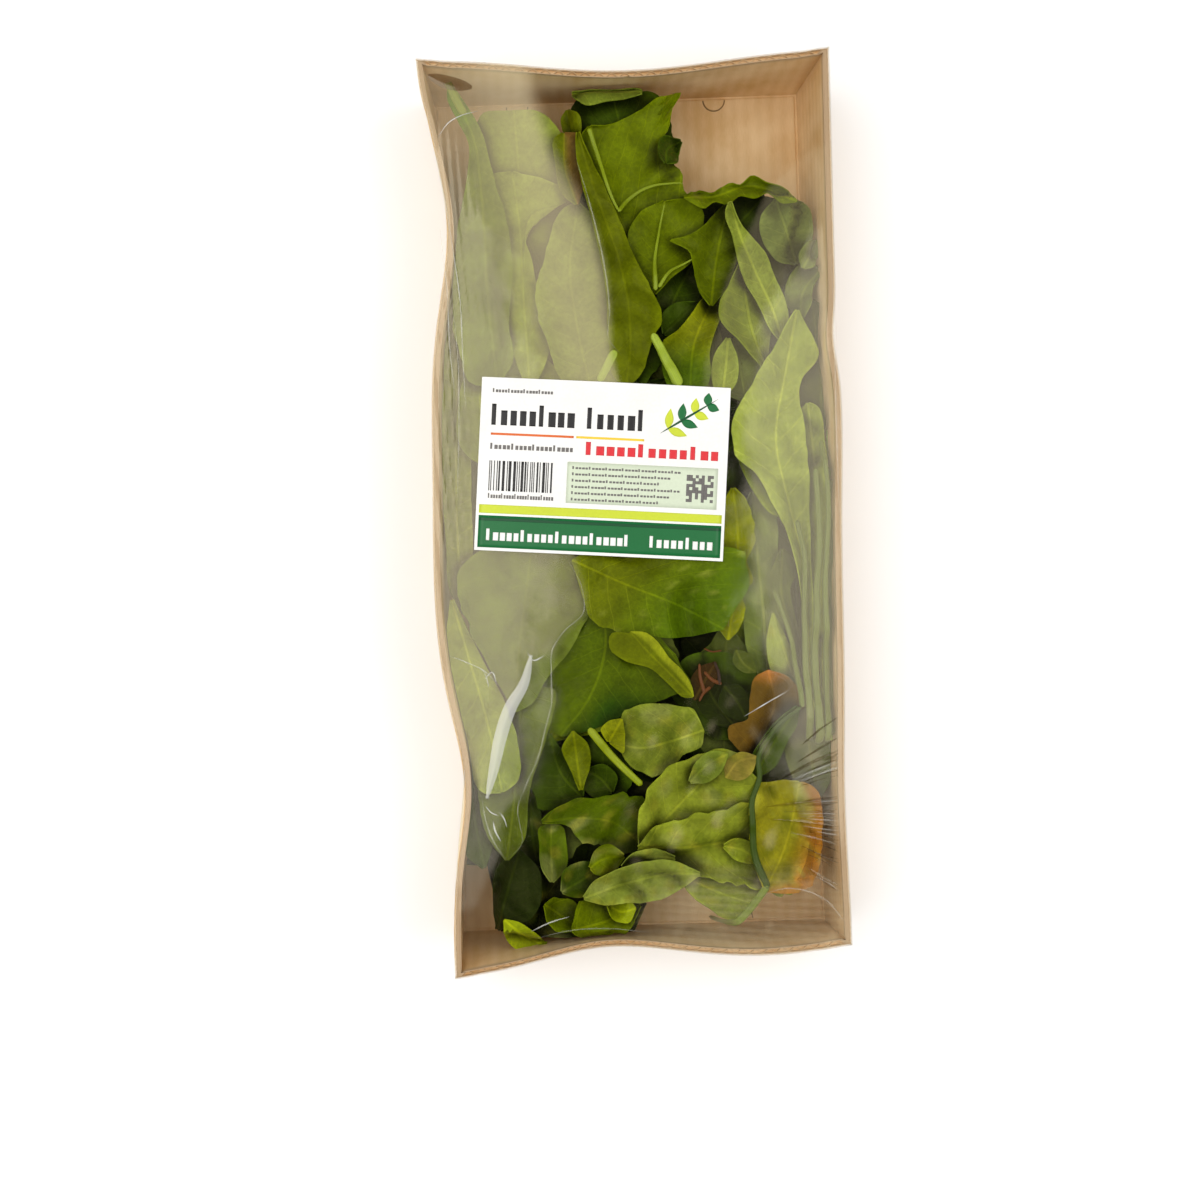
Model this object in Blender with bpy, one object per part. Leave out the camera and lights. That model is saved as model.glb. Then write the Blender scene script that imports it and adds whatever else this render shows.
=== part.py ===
"""Spinach leaves in a corrugated kraft tray, wrapped in clear film, with a paper label on the film.

The pack lies on its floor with the film side up. X runs across it, Y along it and Z up. The origin
is the centre of the pack's bounding box at its base. Lengths below are in millimetres until MM
turns them into Blender's metres.
"""

import math

import bmesh
import bpy
import numpy as np

MM = 0.001
SHARP_ANGLE = 40

# Film: a thin skin all round, tucked under the floor, which bulges a little over its half spans.
# Each sag is a place over the bare floor (x, y), a depth and a spread.
FILM_THICKNESS = 0.4
FILM_GAP = 0.3
FILM_TUCK = 32.0
FILM_RISE = 3.2
FILM_SPAN = (78.0, 176.0)
FILM_SAGS = ((46.0, 138.0, 2.4, 26.0), (44.0, -158.0, 1.6, 18.0))

# Tray: one folded blank of corrugated board, its floor a plain rectangle.
BOARD = 2.3
WALL_HEIGHT = 45.0
FLOOR_WIDTH = 159.0
FLOOR_LENGTH = 357.0
FLOOR_CENTRE = (-0.8, -0.6)
WALL_CURVE = 1.25
WALL_SHARES = (0.0, 0.4, 0.75, 1.0)
SHORT_STEPS = 12
LONG_STEPS = 26

# Locking tongues of the end walls, flat on the floor.
TONGUE_RADIUS = 4.3
TONGUE_HEIGHT = 0.5
TONGUE_STEPS = 10
TONGUE_X = (-43.0, 41.0)

# The rim's four corners, anticlockwise seen from above, and the dents that the tight film pulls
# into each wall: (place along the wall, depth towards the inside, spread).
RIM_CORNERS = ((-80.0, -186.5), (78.2, -178.4), (81.5, 180.0), (-83.0, 181.0))
WALL_DENTS = (
    ((-20.0, 7.6, 25.0), (48.0, -1.5, 18.0)),
    ((64.0, 1.8, 9.0), (32.0, -1.4, 25.0), (-118.0, 1.2, 25.0)),
    ((0.0, 7.0, 38.0),),
    ((115.0, 9.5, 30.0), (-110.0, 7.0, 24.0), (-33.0, -1.8, 30.0)),
)
INWARDS = ((0.0, 1.0), (-1.0, 0.0), (0.0, -1.0), (1.0, 0.0))
CORNER_REACH = 0.06

# Label, stuck on the film.
LABEL_WIDTH = 99.0
LABEL_LENGTH = 69.0
LABEL_THICKNESS = 0.3
LABEL_GAP = 0.5
LABEL_CENTRE = (-14.0, 17.4)
LABEL_TURN = -4.7
LABEL_STEPS = (10, 7)

# Levels, from the surface that the pack lies on.
TRAY_BASE = FILM_THICKNESS + FILM_GAP
FLOOR_TOP = TRAY_BASE + BOARD
RIM_TOP = TRAY_BASE + WALL_HEIGHT
FILM_MIDDLE = FILM_GAP + FILM_THICKNESS / 2

# Heap of leaves: a lumpy core, with the leaves that show fused on.
# The core ends further out on the left than on the right, where the tray's floor shows: each end
# is its place along Y half way across, and how far it steps there.
CORE_HALF_WIDTH = 69.0
CORE_FAR_END = (133.0, 17.0)
CORE_NEAR_END = (-151.0, -7.0)
CORE_END_SLOPE = 5.0
CORE_TOP = 35.0
CORE_LUMP = 1.6
CORE_END_DROP = 5.0
CORE_END_TAPER = 0.1
CORE_FOOT = 0.97
CORE_STEPS = (9, 18)
HEAP_GAP = 0.5
LEAF_THICKNESS = 1.1
LEAF_CLEARANCE = 1.3
LEAF_STATIONS = (0.0, 0.1, 0.3, 0.5, 0.7, 0.9, 1.0)
LEAF_ROUNDING = (0.65, 1.0, 1.0, 1.0, 1.0, 1.0, 0.55)
LEAF_BEND = (0.0, 0.35, 0.65, 1.0)
LEAF_WAVE = 1.1
LEAF_LEAN = 0.9
LEAF_LIFT = 0.45
STEM_SIDES = 6
SLIVER = 0.01

# The heap is drawn on a plan that is square to the photograph: one step of the plan is 0.4 mm,
# x runs right and y runs down. The pack lies on the plan turned a little.
PLAN_STEP = 0.4
PLAN_ORIGIN = (640, 505)
PLAN_TURN = 2.0

# Leaves from the bottom of the heap to its top: name, height in mm of stem end, middle and tip,
# midrib from stem end to tip, and the blade's reach to its left and to its right at each point.
LEAVES = (
    ("pocket", (34, 33, 33), ((620, 170), (610, 125), (608, 88)), (20, 32, 32), (20, 42, 34)),
    ("ruffle", (34, 35, 35), ((690, 205), (740, 215), (790, 200)), (6, 26, 8), (6, 38, 20)),
    ("round", (34, 36, 36), ((800, 262), (792, 225), (775, 192)), (12, 26, 12), (12, 20, 30)),
    ("spur", (33, 36, 36), ((800, 318), (805, 290), (821, 270)), (8, 12, 2), (6, 12, 3)),
    ("upper_left", (34, 37, 37), ((530, 240), (520, 170), (512, 112)), (25, 42, 38), (20, 36, 42)),
    (
        "left_long",
        (34, 39, 34),
        ((462, 250), (457, 330), (456, 430), (459, 560), (462, 610)),
        (10, 20, 28, 28, 15),
        (4, 8, 8, 8, 6),
    ),
    (
        "right_grey",
        (34, 36, 36),
        ((765, 670), (768, 600), (765, 520), (755, 490)),
        (20, 25, 20, 8),
        (14, 16, 22, 14),
    ),
    ("hole_dark", (34, 33, 33), ((715, 735), (738, 700), (730, 660)), (8, 20, 14), (8, 16, 14)),
    ("low_right_grey", (34, 36, 36), ((815, 790), (805, 750), (800, 712)), (20, 24, 12), (10, 14, 12)),
    ("rim_dark", (40, 38, 33), ((470, 738), (474, 790), (490, 868)), (8, 14, 10), (3, 5, 8)),
    ("low_left_dark", (34, 37, 37), ((528, 795), (533, 850), (541, 897)), (8, 10, 2), (10, 12, 3)),
    ("low_left_small", (33, 37, 33), ((512, 858), (525, 880), (541, 898)), (6, 8, 2), (6, 6, 2)),
    ("crumple_left", (34, 36, 36), ((545, 905), (560, 910), (575, 918)), (10, 12, 4), (8, 10, 4)),
    ("crumple_low", (34, 36, 36), ((580, 920), (610, 915), (640, 900)), (8, 14, 8), (8, 12, 8)),
    ("lower_left", (34, 37, 37), ((485, 690), (500, 745), (512, 797)), (12, 22, 16), (10, 20, 16)),
    ("hidden_top", (34, 37, 37), ((570, 400), (535, 380), (502, 364)), (15, 18, 4), (12, 16, 4)),
    (
        "left_hazed",
        (34, 38, 38),
        ((520, 167), (515, 230), (524, 290), (518, 385)),
        (32, 12, 14, 28),
        (28, 14, 14, 14),
    ),
    (
        "right_rim",
        (34, 39, 33),
        ((836, 740), (836, 600), (830, 480), (815, 395)),
        (4, 6, 10, 6),
        (3, 3, 3, 3),
    ),
    (
        "right_long",
        (34, 39, 33),
        ((815, 730), (810, 620), (795, 540), (775, 470)),
        (4, 6, 14, 8),
        (4, 5, 10, 8),
    ),
    (
        "big_green",
        (34, 38, 38),
        ((655, 300), (625, 235), (605, 178), (591, 126)),
        (10, 12, 10, 4),
        (25, 62, 72, 86),
    ),
    ("mid_green", (34, 39, 39), ((654, 300), (660, 240), (672, 190)), (22, 35, 16), (22, 42, 28)),
    ("beside_label", (34, 38, 38), ((742, 400), (735, 365), (727, 338)), (25, 18, 4), (25, 18, 5)),
    (
        "left_broad",
        (34, 39, 39),
        ((590, 400), (580, 330), (570, 270), (560, 207)),
        (25, 35, 32, 6),
        (20, 28, 35, 25),
    ),
    ("olive_tip", (34, 40, 40), ((577, 198), (562, 165), (566, 132)), (4, 10, 10), (4, 14, 12)),
    ("yellow", (34, 40, 40), ((690, 390), (695, 340), (716, 292)), (26, 22, 4), (18, 18, 4)),
    ("pointed", (34, 41, 41), ((706, 303), (722, 245), (730, 201)), (10, 44, 4), (14, 14, 4)),
    ("blue_grey", (34, 39, 39), ((766, 364), (745, 310), (737, 269)), (8, 22, 3), (8, 24, 3)),
    ("small_dark", (34, 40, 40), ((783, 513), (757, 475), (742, 445)), (4, 9, 6), (4, 10, 8)),
    (
        "mottled",
        (34, 39, 39),
        ((728, 634), (740, 590), (745, 540), (736, 495)),
        (6, 24, 20, 8),
        (6, 12, 10, 6),
    ),
    ("low_narrow", (34, 39, 38), ((806, 705), (785, 665), (774, 612)), (3, 14, 10), (3, 12, 8)),
    (
        "diamond",
        (34, 41, 40),
        ((813, 706), (800, 650), (783, 590), (785, 553)),
        (3, 10, 12, 3),
        (3, 10, 12, 4),
    ),
    ("green_wide", (34, 38, 38), ((550, 735), (600, 705), (681, 692)), (6, 28, 4), (6, 20, 4)),
    ("green_large", (34, 39, 39), ((590, 610), (590, 660), (568, 727)), (30, 60, 20), (30, 42, 20)),
    ("veined", (34, 38, 38), ((622, 748), (660, 744), (702, 728)), (22, 38, 14), (12, 34, 14)),
    ("dark_fold", (34, 37, 37), ((545, 730), (553, 770), (562, 806)), (8, 22, 20), (8, 20, 20)),
    ("small_bright", (34, 40, 40), ((573, 734), (576, 760), (579, 790)), (9, 11, 3), (9, 11, 3)),
    (
        "brown",
        (34, 40, 40),
        ((768, 760), (762, 740), (775, 708), (775, 673)),
        (4, 14, 24, 12),
        (12, 14, 26, 14),
    ),
    ("low_mid", (34, 39, 39), ((552, 880), (552, 850), (556, 825)), (6, 12, 8), (8, 12, 14)),
    ("low_green", (34, 40, 40), ((540, 818), (590, 812), (647, 812)), (6, 22, 28), (6, 26, 34)),
    ("low_upper", (34, 40, 40), ((640, 800), (690, 785), (757, 785)), (12, 38, 26), (14, 40, 40)),
    ("low_side", (34, 39, 39), ((560, 890), (580, 880), (600, 873)), (12, 12, 4), (8, 14, 10)),
    ("low_light", (34, 40, 40), ((679, 868), (715, 888), (757, 904)), (4, 12, 10), (4, 14, 12)),
    (
        "low_wide",
        (34, 41, 41),
        ((638, 848), (690, 846), (745, 840), (774, 835)),
        (8, 40, 40, 20),
        (4, 18, 26, 16),
    ),
    ("low_yellow", (34, 41, 41), ((765, 884), (785, 845), (801, 794)), (18, 26, 14), (18, 30, 14)),
    ("low_grey", (34, 42, 42), ((586, 894), (640, 883), (700, 874)), (3, 14, 3), (3, 14, 3)),
    (
        "rim_long",
        (40, 41, 34),
        ((453, 602), (469, 660), (490, 730), (500, 788)),
        (10, 18, 22, 14),
        (3, 10, 16, 10),
    ),
    (
        "hazed_large",
        (34, 42, 42),
        ((530, 545), (520, 610), (512, 660), (508, 705)),
        (48, 60, 34, 4),
        (45, 58, 32, 4),
    ),
    (
        "below_label",
        (34, 42, 42),
        ((570, 562), (620, 585), (680, 610), (726, 630)),
        (10, 42, 42, 4),
        (12, 30, 24, 3),
    ),
    ("folded", (34, 43, 43), ((691, 693), (655, 660), (630, 635)), (3, 14, 16), (3, 10, 12)),
    (
        "light_strip",
        (34, 42, 42),
        ((783, 341), (775, 310), (757, 272), (742, 238), (731, 202)),
        (3, 12, 14, 8, 3),
        (3, 12, 13, 9, 3),
    ),
    (
        "triangle",
        (40, 43, 35),
        ((827, 735), (821, 600), (813, 510), (801, 440), (795, 360), (796, 312)),
        (4, 6, 38, 50, 22, 3),
        (4, 8, 10, 16, 20, 3),
    ),
    (
        "corner_long",
        (42, 43, 35),
        ((451, 92), (468, 125), (481, 165), (484, 215), (484, 265), (488, 330), (494, 387)),
        (4, 7, 9, 18, 26, 20, 14),
        (4, 7, 9, 16, 22, 18, 10),
    ),
    (
        "olive_long",
        (34, 43, 43),
        ((579, 135), (592, 170), (607, 222), (621, 262), (631, 312), (627, 352), (622, 387)),
        (4, 8, 13, 17, 26, 20, 12),
        (4, 8, 13, 16, 24, 20, 14),
    ),
)

# Bare leaf stems that show on top: name, height of the middle in mm, points and half width on the
# plan.
STEMS = (
    ("cut_stem", 40, ((601, 380), (611, 367), (621, 354)), 5),
    ("centre_stem", 40, ((674, 382), (663, 360), (651, 338)), 5),
    ("slant_stem", 40, ((592, 735), (612, 756), (639, 784)), 4),
    ("low_stem", 41, ((750, 787), (749, 830), (757, 868), (767, 892), (743, 914), (723, 932)), 4),
)


def smooth_bump(place, centre, spread):
    """A bell of height 1 at centre that fades out over a few times spread."""
    return np.exp(-((np.asarray(place) - centre) ** 2) / (2 * spread**2))


def rim_loop():
    """The tray's outer rim seen from above: straight sides between the corners, with their dents."""
    sides = []
    for number, dents in enumerate(WALL_DENTS):
        start = np.array(RIM_CORNERS[number])
        end = np.array(RIM_CORNERS[(number + 1) % 4])
        steps = LONG_STEPS if number % 2 else SHORT_STEPS
        share = np.arange(steps) / steps
        points = start + share[:, None] * (end - start)
        along = points[:, number % 2]
        depth = sum(d * smooth_bump(along, place, spread) for place, d, spread in dents)
        held = np.clip(np.minimum(share, 1 - share) / CORNER_REACH, 0, 1)
        sides.append(points + np.outer(depth * held, INWARDS[number]))
    return np.concatenate(sides)


def floor_loop():
    """The floor's rectangle, with as many points on each side as the rim has."""
    half = np.array([FLOOR_WIDTH, FLOOR_LENGTH]) / 2
    signs = ((-1, -1), (1, -1), (1, 1), (-1, 1))
    sides = []
    for number in range(4):
        start = np.array(signs[number]) * half
        end = np.array(signs[(number + 1) % 4]) * half
        steps = LONG_STEPS if number % 2 else SHORT_STEPS
        share = np.arange(steps) / steps
        sides.append(start + share[:, None] * (end - start))
    return np.concatenate(sides) + FLOOR_CENTRE


def inset(loop, distance):
    """An anticlockwise loop moved inwards by distance, with mitred corners."""
    ahead = np.roll(loop, -1, axis=0) - loop
    ahead /= np.linalg.norm(ahead, axis=1)[:, None]
    after = np.stack([-ahead[:, 1], ahead[:, 0]], axis=1)
    before = np.roll(after, 1, axis=0)
    mitre = (before + after) / (1 + (before * after).sum(axis=1))[:, None]
    return loop + distance * mitre


RIM = rim_loop()
FLOOR = floor_loop()
BOX_CENTRE = (RIM.min(axis=0) + RIM.max(axis=0)) / 2


def wall_loop(share, distance=0.0):
    """The wall's outer face at a share of its height, moved inwards by distance."""
    return inset(FLOOR + (RIM - FLOOR) * share**WALL_CURVE, distance)


def level(loop, height):
    """The loop as points in space at one height, with the bounding box centred on the origin."""
    flat = loop - BOX_CENTRE
    return np.column_stack([flat, np.full(len(flat), height)])


def film_height(x, y):
    """Height of the middle of the film over the point (x, y), both measured from the origin."""
    across = np.clip(np.abs(x) / FILM_SPAN[0], 0, 1)
    along = np.clip(np.abs(y) / FILM_SPAN[1], 0, 1)
    rise = FILM_RISE * (1 - across**2) * (1 - along**4)
    for sag_x, sag_y, depth, spread in FILM_SAGS:
        fade = smooth_bump(x, sag_x, spread) * smooth_bump(y, sag_y, spread)
        rise = rise - depth * fade * (1 - across**4) * (1 - along**8)
    return RIM_TOP + FILM_MIDDLE + rise


def material(name, colour, roughness, alpha=1.0):
    """A plain Principled material."""
    made = bpy.data.materials.new(name)
    made.use_nodes = True
    shader = made.node_tree.nodes["Principled BSDF"]
    shader.inputs["Base Color"].default_value = (*colour, 1.0)
    shader.inputs["Roughness"].default_value = roughness
    shader.inputs["Alpha"].default_value = alpha
    return made


def add_object(name, points, faces, look, smooth_angle=None):
    """Links a mesh object made from points in millimetres."""
    mesh = bpy.data.meshes.new(name)
    mesh.from_pydata((np.asarray(points) * MM).tolist(), [], faces)
    mesh.materials.append(look)
    if smooth_angle is not None:
        mesh.shade_smooth()
        mesh.set_sharp_from_angle(angle=math.radians(smooth_angle))
    made = bpy.data.objects.new(name, mesh)
    bpy.context.scene.collection.objects.link(made)
    return made


def loft_faces(rows, count):
    """Quads between successive closed rows of count points each."""
    return [
        (
            row * count + i,
            row * count + (i + 1) % count,
            (row + 1) * count + (i + 1) % count,
            (row + 1) * count + i,
        )
        for row in range(rows - 1)
        for i in range(count)
    ]


def closed_loft(name, rows, look, smooth_angle=None):
    """A solid through closed rows of points, with a flat cap on the first and the last."""
    count = len(rows[0])
    faces = loft_faces(len(rows), count)
    faces.append(tuple(reversed(range(count))))
    faces.append(tuple(range((len(rows) - 1) * count, len(rows) * count)))
    return add_object(name, np.concatenate(rows), faces, look, smooth_angle)


def apply_modifiers(made):
    """Bakes an object's modifiers into its mesh."""
    bpy.context.view_layer.update()
    graph = bpy.context.evaluated_depsgraph_get()
    baked = bpy.data.meshes.new_from_object(made.evaluated_get(graph))
    made.modifiers.clear()
    made.data = baked


def join_all(made, pieces, operation="UNION"):
    """Joins pieces to the object, or cuts it to them, by one Boolean on a collection."""
    group = bpy.data.collections.new("pieces")
    bpy.context.scene.collection.children.link(group)
    for piece in pieces:
        bpy.context.scene.collection.objects.unlink(piece)
        group.objects.link(piece)
    boolean = made.modifiers.new("join", "BOOLEAN")
    boolean.operation = operation
    boolean.operand_type = "COLLECTION"
    boolean.collection = group
    boolean.solver = "EXACT"
    apply_modifiers(made)
    for piece in pieces:
        bpy.data.objects.remove(piece)
    bpy.data.collections.remove(group)


def keep_largest_island(made):
    """Drops slivers, loose scraps and sealed hollows, keeping one closed surface."""
    shape = bmesh.new()
    shape.from_mesh(made.data)
    bmesh.ops.triangulate(shape, faces=shape.faces)
    bmesh.ops.remove_doubles(shape, verts=shape.verts, dist=SLIVER * MM)
    bmesh.ops.dissolve_degenerate(shape, dist=SLIVER * MM, edges=shape.edges)
    bmesh.ops.triangulate(shape, faces=shape.faces)
    islands, seen = [], set()
    for start in shape.faces:
        if start in seen:
            continue
        island, open_faces = set(), [start]
        while open_faces:
            face = open_faces.pop()
            if face in island:
                continue
            island.add(face)
            open_faces.extend(near for edge in face.edges for near in edge.link_faces)
        seen |= island
        islands.append(island)
    largest = max(islands, key=len)
    spare = [face for face in shape.faces if face not in largest]
    bmesh.ops.delete(shape, geom=spare, context="FACES")
    loose = [vert for vert in shape.verts if not vert.link_faces]
    bmesh.ops.delete(shape, geom=loose, context="VERTS")
    shape.to_mesh(made.data)
    shape.free()


def make_tray(look):
    """Floor and four walls in one piece, with the end walls' locking tongues on the floor."""
    rows = [level(wall_loop(share), TRAY_BASE + share * WALL_HEIGHT) for share in WALL_SHARES]
    for share in WALL_SHARES[:0:-1]:
        rows.append(level(wall_loop(share, BOARD), TRAY_BASE + share * WALL_HEIGHT))
    rows.append(level(wall_loop(BOARD / WALL_HEIGHT, BOARD), FLOOR_TOP))
    tray = closed_loft("tray", rows, look, smooth_angle=SHARP_ANGLE)
    tongues = [make_tongue(x, end, look) for x in TONGUE_X for end in (-1, 1)]
    join_all(tray, tongues)


def make_tongue(x, end, look):
    """A half-round tongue at one end of the floor, rooted in the end wall and the floor."""
    root = BOARD / 2
    angles = np.linspace(0, math.pi, TONGUE_STEPS + 1)
    edge_y = FLOOR_CENTRE[1] + end * (FLOOR_LENGTH / 2 - BOARD)
    arc_x = x + TONGUE_RADIUS * np.cos(angles)
    arc_y = edge_y - end * TONGUE_RADIUS * np.sin(angles)
    outline = np.column_stack([arc_x, arc_y])
    roots = [(x - TONGUE_RADIUS, edge_y + end * root), (x + TONGUE_RADIUS, edge_y + end * root)]
    outline = np.concatenate([outline, roots])
    if end > 0:
        outline = outline[::-1]
    rows = [level(outline, FLOOR_TOP - BOARD / 2), level(outline, FLOOR_TOP + TONGUE_HEIGHT)]
    return closed_loft(f"tongue_{x:.0f}_{end}", rows, look)


def make_film(look):
    """The film as a thin skin: from its tucked edge under the floor, up the walls and across."""
    under = FILM_THICKNESS / 2
    shrink = 1 - FILM_TUCK / (np.array([FLOOR_WIDTH, FLOOR_LENGTH]) / 2)
    tucked = FLOOR_CENTRE + (FLOOR - FLOOR_CENTRE) * shrink
    rows = [level(tucked, under), level(inset(FLOOR, -FILM_MIDDLE), under)]
    for share in WALL_SHARES[1:-1]:
        height = TRAY_BASE + share * WALL_HEIGHT
        rows.append(level(wall_loop(share, -FILM_MIDDLE), height))
    edge = level(inset(RIM, -FILM_MIDDLE), RIM_TOP + FILM_MIDDLE)
    rows.append(edge)
    count = len(RIM)
    faces = loft_faces(len(rows), count)
    first = (len(rows) - 1) * count
    grid = coons_grid(edge)
    inside = grid[1:-1, 1:-1].reshape(-1, 3)
    inside[:, 2] = film_height(inside[:, 0], inside[:, 1])
    numbers = np.zeros(grid.shape[:2], int)
    numbers[:, 0] = first + np.arange(SHORT_STEPS + 1)
    numbers[-1, :] = first + SHORT_STEPS + np.arange(LONG_STEPS + 1)
    numbers[::-1, -1] = first + SHORT_STEPS + LONG_STEPS + np.arange(SHORT_STEPS + 1)
    numbers[0, 1:][::-1] = first + 2 * SHORT_STEPS + LONG_STEPS + np.arange(LONG_STEPS)
    numbers[1:-1, 1:-1] = len(rows) * count + np.arange(len(inside)).reshape(
        SHORT_STEPS - 1, LONG_STEPS - 1
    )
    for i in range(SHORT_STEPS):
        for j in range(LONG_STEPS):
            corners = (numbers[i, j], numbers[i + 1, j], numbers[i + 1, j + 1], numbers[i, j + 1])
            faces.append(tuple(int(c) for c in corners))
    film = add_object("film", np.concatenate([*rows, inside]), faces, look, smooth_angle=SHARP_ANGLE)
    skin = film.modifiers.new("skin", "SOLIDIFY")
    skin.thickness = FILM_THICKNESS * MM
    skin.offset = 0.0
    skin.use_even_offset = True


def coons_grid(loop):
    """A grid of points that fills a closed four-sided loop, indexed [across, along]."""
    low = loop[: SHORT_STEPS + 1]
    right = loop[SHORT_STEPS : SHORT_STEPS + LONG_STEPS + 1]
    high = loop[SHORT_STEPS + LONG_STEPS : 2 * SHORT_STEPS + LONG_STEPS + 1][::-1]
    left = np.concatenate([loop[2 * SHORT_STEPS + LONG_STEPS :], loop[:1]])[::-1]
    u = (np.arange(SHORT_STEPS + 1) / SHORT_STEPS)[:, None, None]
    v = (np.arange(LONG_STEPS + 1) / LONG_STEPS)[None, :, None]
    ruled_v = (1 - v) * low[:, None] + v * high[:, None]
    ruled_u = (1 - u) * left[None] + u * right[None]
    corners = (1 - u) * ((1 - v) * low[0] + v * high[0]) + u * ((1 - v) * low[-1] + v * high[-1])
    return ruled_v + ruled_u - corners


def make_label(look):
    """A thin paper label that follows the film."""
    across, along = LABEL_STEPS
    turn = math.radians(LABEL_TURN)
    u, v = np.meshgrid(
        (np.arange(across + 1) / across - 0.5) * LABEL_WIDTH,
        (np.arange(along + 1) / along - 0.5) * LABEL_LENGTH,
        indexing="ij",
    )
    x = LABEL_CENTRE[0] + u * math.cos(turn) - v * math.sin(turn)
    y = LABEL_CENTRE[1] + u * math.sin(turn) + v * math.cos(turn)
    lift = FILM_THICKNESS / 2 + LABEL_GAP + LABEL_THICKNESS / 2
    points = np.stack([x, y, film_height(x, y) + lift], axis=-1).reshape(-1, 3)
    row = along + 1
    faces = [
        (i * row + j, (i + 1) * row + j, (i + 1) * row + j + 1, i * row + j + 1)
        for i in range(across)
        for j in range(along)
    ]
    label = add_object("label", points, faces, look, smooth_angle=SHARP_ANGLE)
    paper = label.modifiers.new("paper", "SOLIDIFY")
    paper.thickness = LABEL_THICKNESS * MM
    paper.offset = 0.0


def to_pack(points):
    """Turns points on the plan into the pack's own millimetres."""
    flat = (np.asarray(points, float) - PLAN_ORIGIN) * (PLAN_STEP, -PLAN_STEP)
    turn = math.radians(PLAN_TURN)
    spin = np.array([[math.cos(turn), math.sin(turn)], [-math.sin(turn), math.cos(turn)]])
    return flat @ spin.T - BOX_CENTRE


def make_leaf(number, name, heights, midrib, left, right, look):
    """One leaf as a thin wavy solid, stem end and blade together, both faces split alike."""
    ribs = to_pack(midrib)
    run = np.concatenate([[0], np.cumsum(np.linalg.norm(np.diff(ribs, axis=0), axis=1))])
    run /= run[-1]
    share = np.array(LEAF_STATIONS)
    stations = len(share)
    ribs = np.column_stack([np.interp(share, run, ribs[:, k]) for k in (0, 1)])
    ahead = np.gradient(ribs, axis=0)
    ahead /= np.linalg.norm(ahead, axis=1)[:, None]
    aside = np.column_stack([-ahead[:, 1], ahead[:, 0]])
    rounding = np.array(LEAF_ROUNDING) * PLAN_STEP
    left_mm = np.interp(share, run, left) * rounding
    right_mm = np.interp(share, run, right) * rounding
    reach = np.column_stack([-right_mm, np.zeros(stations), left_mm])
    flat = ribs[:, None] + reach[..., None] * aside[:, None]
    draw = np.random.default_rng(number)
    stem_end, middle, tip = heights
    rise = np.interp(share, LEAF_BEND, (stem_end, middle, middle, tip))
    rise += draw.uniform(-LEAF_LIFT, LEAF_LIFT, stations)
    beat = LEAF_WAVE * np.cos(math.pi * np.arange(stations))
    lean = draw.uniform(-LEAF_LEAN, LEAF_LEAN)
    top = np.column_stack([rise + beat + lean, rise, rise - beat - lean])
    top = np.minimum(top, film_height(flat[..., 0], flat[..., 1]) - LEAF_CLEARANCE)
    upper = np.concatenate([flat, top[..., None]], axis=-1).reshape(-1, 3)
    lower = upper - (0, 0, LEAF_THICKNESS)
    return add_object(f"leaf_{name}", np.concatenate([upper, lower]), strip_faces(stations), look)


def make_stem(name, height, points, half, look):
    """A bare stem: a bar with a few sides along its points."""
    line = to_pack(points)
    ahead = np.gradient(line, axis=0)
    ahead /= np.linalg.norm(ahead, axis=1)[:, None]
    aside = np.column_stack([-ahead[:, 1], ahead[:, 0]])
    angles = np.arange(STEM_SIDES) * 2 * math.pi / STEM_SIDES
    sideways = half * PLAN_STEP * np.cos(angles)
    heights = height + half * PLAN_STEP * np.sin(angles)
    rows = [
        np.column_stack([place + np.outer(sideways, side), heights])
        for place, side in zip(line, aside)
    ]
    return closed_loft(f"stem_{name}", rows[::-1], look)


def strip_faces(stations):
    """Triangles of a leaf: the same diagonals on both faces, and a band round the edge."""
    offset = stations * 3
    faces = []
    for i in range(stations - 1):
        for j in range(2):
            a, b = i * 3 + j, (i + 1) * 3 + j
            for triangle in ((a, b, b + 1), (a, b + 1, a + 1)):
                faces.append(triangle)
                faces.append(tuple(corner + offset for corner in reversed(triangle)))
    edge = [0, 1, 2]
    edge += [i * 3 + 2 for i in range(1, stations)]
    edge += [stations * 3 - 2, stations * 3 - 3]
    edge += [i * 3 for i in range(stations - 2, 0, -1)]
    for a, b in zip(edge, edge[1:] + edge[:1]):
        faces.append((a, b, b + offset))
        faces.append((a, b + offset, a + offset))
    return faces


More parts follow.
